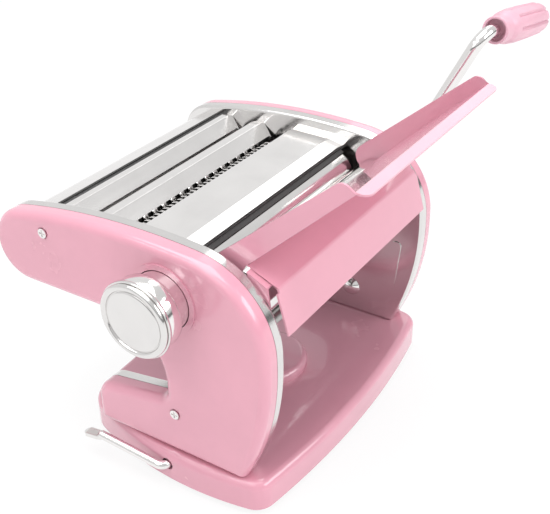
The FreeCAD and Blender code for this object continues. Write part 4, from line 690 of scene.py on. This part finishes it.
class PASTA_OT_covers(Operator):
    """Press the strips between the slots, the wide cover in front of them and a black sheet of painted shade under
    the rear slot
    """
    bl_idname = "pasta.covers"
    bl_label = "Top covers"

    def execute(self, context):
        top = STRIP_LEVEL
        for name, rear, front in (("rear_strip", 73.4, 62.1), ("middle_strip", 49.4, 36.6)):
            profile = ((rear, top), (front + 7.2, top), (front + 0.6, top - 7.2))
            self.press(name, profile, 5.5, 1.6, 2.5)
        profile = ((21.2, top), (-5.8, top - 0.8), (-15.2, top - 2.9))
        self.press("centre_cover", profile, 6.5, 1.1, 0)
        self.add_shade_sheet()
        return {"FINISHED"}

    def add_shade_sheet(self):
        """A black sheet across the rear slot: painted shade that stands for the dark inside of the case."""
        low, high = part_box("rear_strip")
        line = [(low.x, 82.0 * MM, 142.2 * MM), (low.x, 79.0 * MM, 143.6 * MM),
                (low.x, 72.8 * MM, 144.2 * MM)]
        shade_sheet = start_vertex("slot_liner", line[0])
        draw(line)
        bpy.ops.mesh.select_all(action="SELECT")
        carry((high.x - low.x, 0, 0))
        clean_up()
        soften_folds(shade_sheet, 0.4 * MM, 3, 0.03)
        bpy.ops.object.mode_set(mode="OBJECT")
        modify(shade_sheet, "SOLIDIFY", thickness=0.5 * MM, offset=0.0)
        # The black finish on this sheet is painted shade.
        finish_piece(shade_sheet, "frame", ["black plastic"], (), 30, True)

    def press(self, name, profile, border, fall, notch):
        """A sheet along the profile whose borders fall, with its front corners drawn in."""
        settings = bpy.context.scene.pasta_sheet
        low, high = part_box(name)
        line = [Vector((low.x, y * MM, (z - fall) * MM)) for y, z in profile]
        sheet = start_vertex(name + "_sheet", line[0])
        draw(line)
        bpy.ops.mesh.select_all(action="SELECT")
        carry((border * MM, 0, fall * MM))
        carry((high.x - low.x - 2 * border * MM, 0, 0))
        carry((border * MM, 0, -fall * MM))
        for side in (-1, 1):
            choose(sheet, "verts", lambda vert, middle: side * middle.x > high.x - TOUCH
                   and middle.y < (profile[-1][0] + 0.5) * MM)
            bpy.ops.transform.translate(value=(-side * notch * MM, 0, 0))
        clean_up()
        soften_folds(sheet, 0.1 * MM, 2, 0.03)
        clean_up()
        bpy.ops.object.mode_set(mode="OBJECT")
        modify(sheet, "SOLIDIFY", thickness=settings.sheet, offset=0.0, use_even_offset=True)
        finish_piece(sheet, "frame", ["sheet steel"], [name], 30, True)


class PASTA_OT_roller_shade(Operator):
    """Lay a dark rubber strip on the rear roller, along the front edge of the wide cover: painted shade for the
    dark gap under the cover's edge
    """
    bl_idname = "pasta.wiper"
    bl_label = "Roller shade strip"

    def execute(self, context):
        low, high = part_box("rear_roller")
        radius = (high.z - low.z) / 2
        clear, thick, start, stride = 0.45 * MM, 0.8 * MM, 105.5, 2.4
        axis = Vector((0, (low.y + high.y) / 2, (low.z + high.z) / 2))
        under, over = [], []
        for step in range(6):
            angle = math.radians(start + stride * step)
            way = Vector((0, math.cos(angle), math.sin(angle)))
            under.append(axis + way * (radius + clear))
            over.append(axis + way * (radius + clear + thick))
        half = high.x - 14 * MM
        line = [point + Vector((-half, 0, 0)) for point in under + over[::-1] + under[:1]]
        shade_band = start_vertex("roller_wiper", line[0])
        draw(line)
        clean_up()
        bpy.ops.mesh.edge_face_add()
        carry((half * 2, 0, 0))
        clean_up()
        bpy.ops.object.mode_set(mode="OBJECT")
        # The strip's dark rubber finish is painted shade under the wide cover's front edge.
        finish_piece(shade_band, "frame", ["rubber"], (), 30)
        return {"FINISHED"}


class PASTA_OT_grip(Operator):
    """Mould the crank's grip: a plain collar, then a thicker barrel with long flutes"""
    bl_idname = "pasta.grip"
    bl_label = "Crank grip"

    def execute(self, context):
        joint = next(j for j in frame["joints"] if j["name"] == "grip_spin")
        low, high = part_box("crank_grip")
        along = Vector(joint["axis"]).normalized()
        if along.x < 0:
            along = -along
        middle, centre = (low + high) / 2, Vector(joint["pos_m"])
        start = centre + along * ((middle - centre).dot(along) - 34 * MM)
        across = along.cross((0, 0, 1)).normalized()
        profile = ((5.0, 4.0), (5.0, 6.7), (0.3, 6.7), (0.0, 7.0), (0.0, 7.9), (0.4, 8.3),
                   (9.0, 8.3), (10.2, 8.6), (12.4, 9.7), (13.4, 9.9), (17.9, 10.2), (18.1, 10.2),
                   (22.0, 10.5), (40.0, 10.5), (60.0, 10.1), (64.5, 9.4), (67.2, 8.4),
                   (68.0, 7.5), (68.0, 6.2), (62.0, 6.2), (62.0, 4.0))
        line = [start + along * (x * MM) + across * (r * MM) for x, r in profile]
        grip = start_vertex("grip_body", line[0])
        draw(line + line[:1])
        spin_about(start, 96, along)
        self.press_flutes(grip, start, along, across, 1.6, 0.75)
        self.press_flutes(grip, start, along, across, 0.6, 0.6)
        bpy.ops.object.mode_set(mode="OBJECT")
        finish_piece(grip, "grip", ["pink plastic"], ["crank_grip"], 30)
        return {"FINISHED"}

    def press_flutes(self, grip, start, along, across, reach, depth):
        """Push in the rows of points within a number of steps from the flutes' middles."""
        other = along.cross(across)

        def in_flute(vert, middle):
            offset = middle - start
            step = math.degrees(math.atan2(offset.dot(other), offset.dot(across))) / 3.75
            out = (offset - along * offset.dot(along)).length
            return (18 * MM < offset.dot(along) < 67.5 * MM and out > 8 * MM
                    and abs((step + 6) % 12 - 6) < reach)

        choose(grip, "verts", in_flute)
        bpy.ops.transform.shrink_fatten(value=-depth * MM)


class PASTA_PT_panel(Panel):
    bl_label = "Pasta Machine"
    bl_idname = "PASTA_PT_panel"
    bl_space_type = "VIEW_3D"
    bl_region_type = "UI"
    bl_category = "Pasta Machine"

    def draw(self, context):
        for step in STEPS:
            self.layout.operator(step.bl_idname)


STEPS = (PASTA_OT_stage, PASTA_OT_finishes, PASTA_OT_dough_tray, PASTA_OT_knob,
         PASTA_OT_cutters, PASTA_OT_covers, PASTA_OT_roller_shade, PASTA_OT_grip)
CLASSES = (FinishSettings, StageSettings, SheetSettings, *STEPS, PASTA_PT_panel)


def register():
    for item in CLASSES:
        bpy.utils.register_class(item)
    bpy.types.Scene.pasta_finish = PointerProperty(type=FinishSettings)
    bpy.types.Scene.pasta_stage = PointerProperty(type=StageSettings)
    bpy.types.Scene.pasta_sheet = PointerProperty(type=SheetSettings)


def unregister():
    del bpy.types.Scene.pasta_sheet
    del bpy.types.Scene.pasta_stage
    del bpy.types.Scene.pasta_finish
    for item in reversed(CLASSES):
        bpy.utils.unregister_class(item)


def main():
    register()
    for step in STEPS:
        group, name = step.bl_idname.split(".")
        getattr(getattr(bpy.ops, group), name)()


if __name__ == "__main__":
    main()
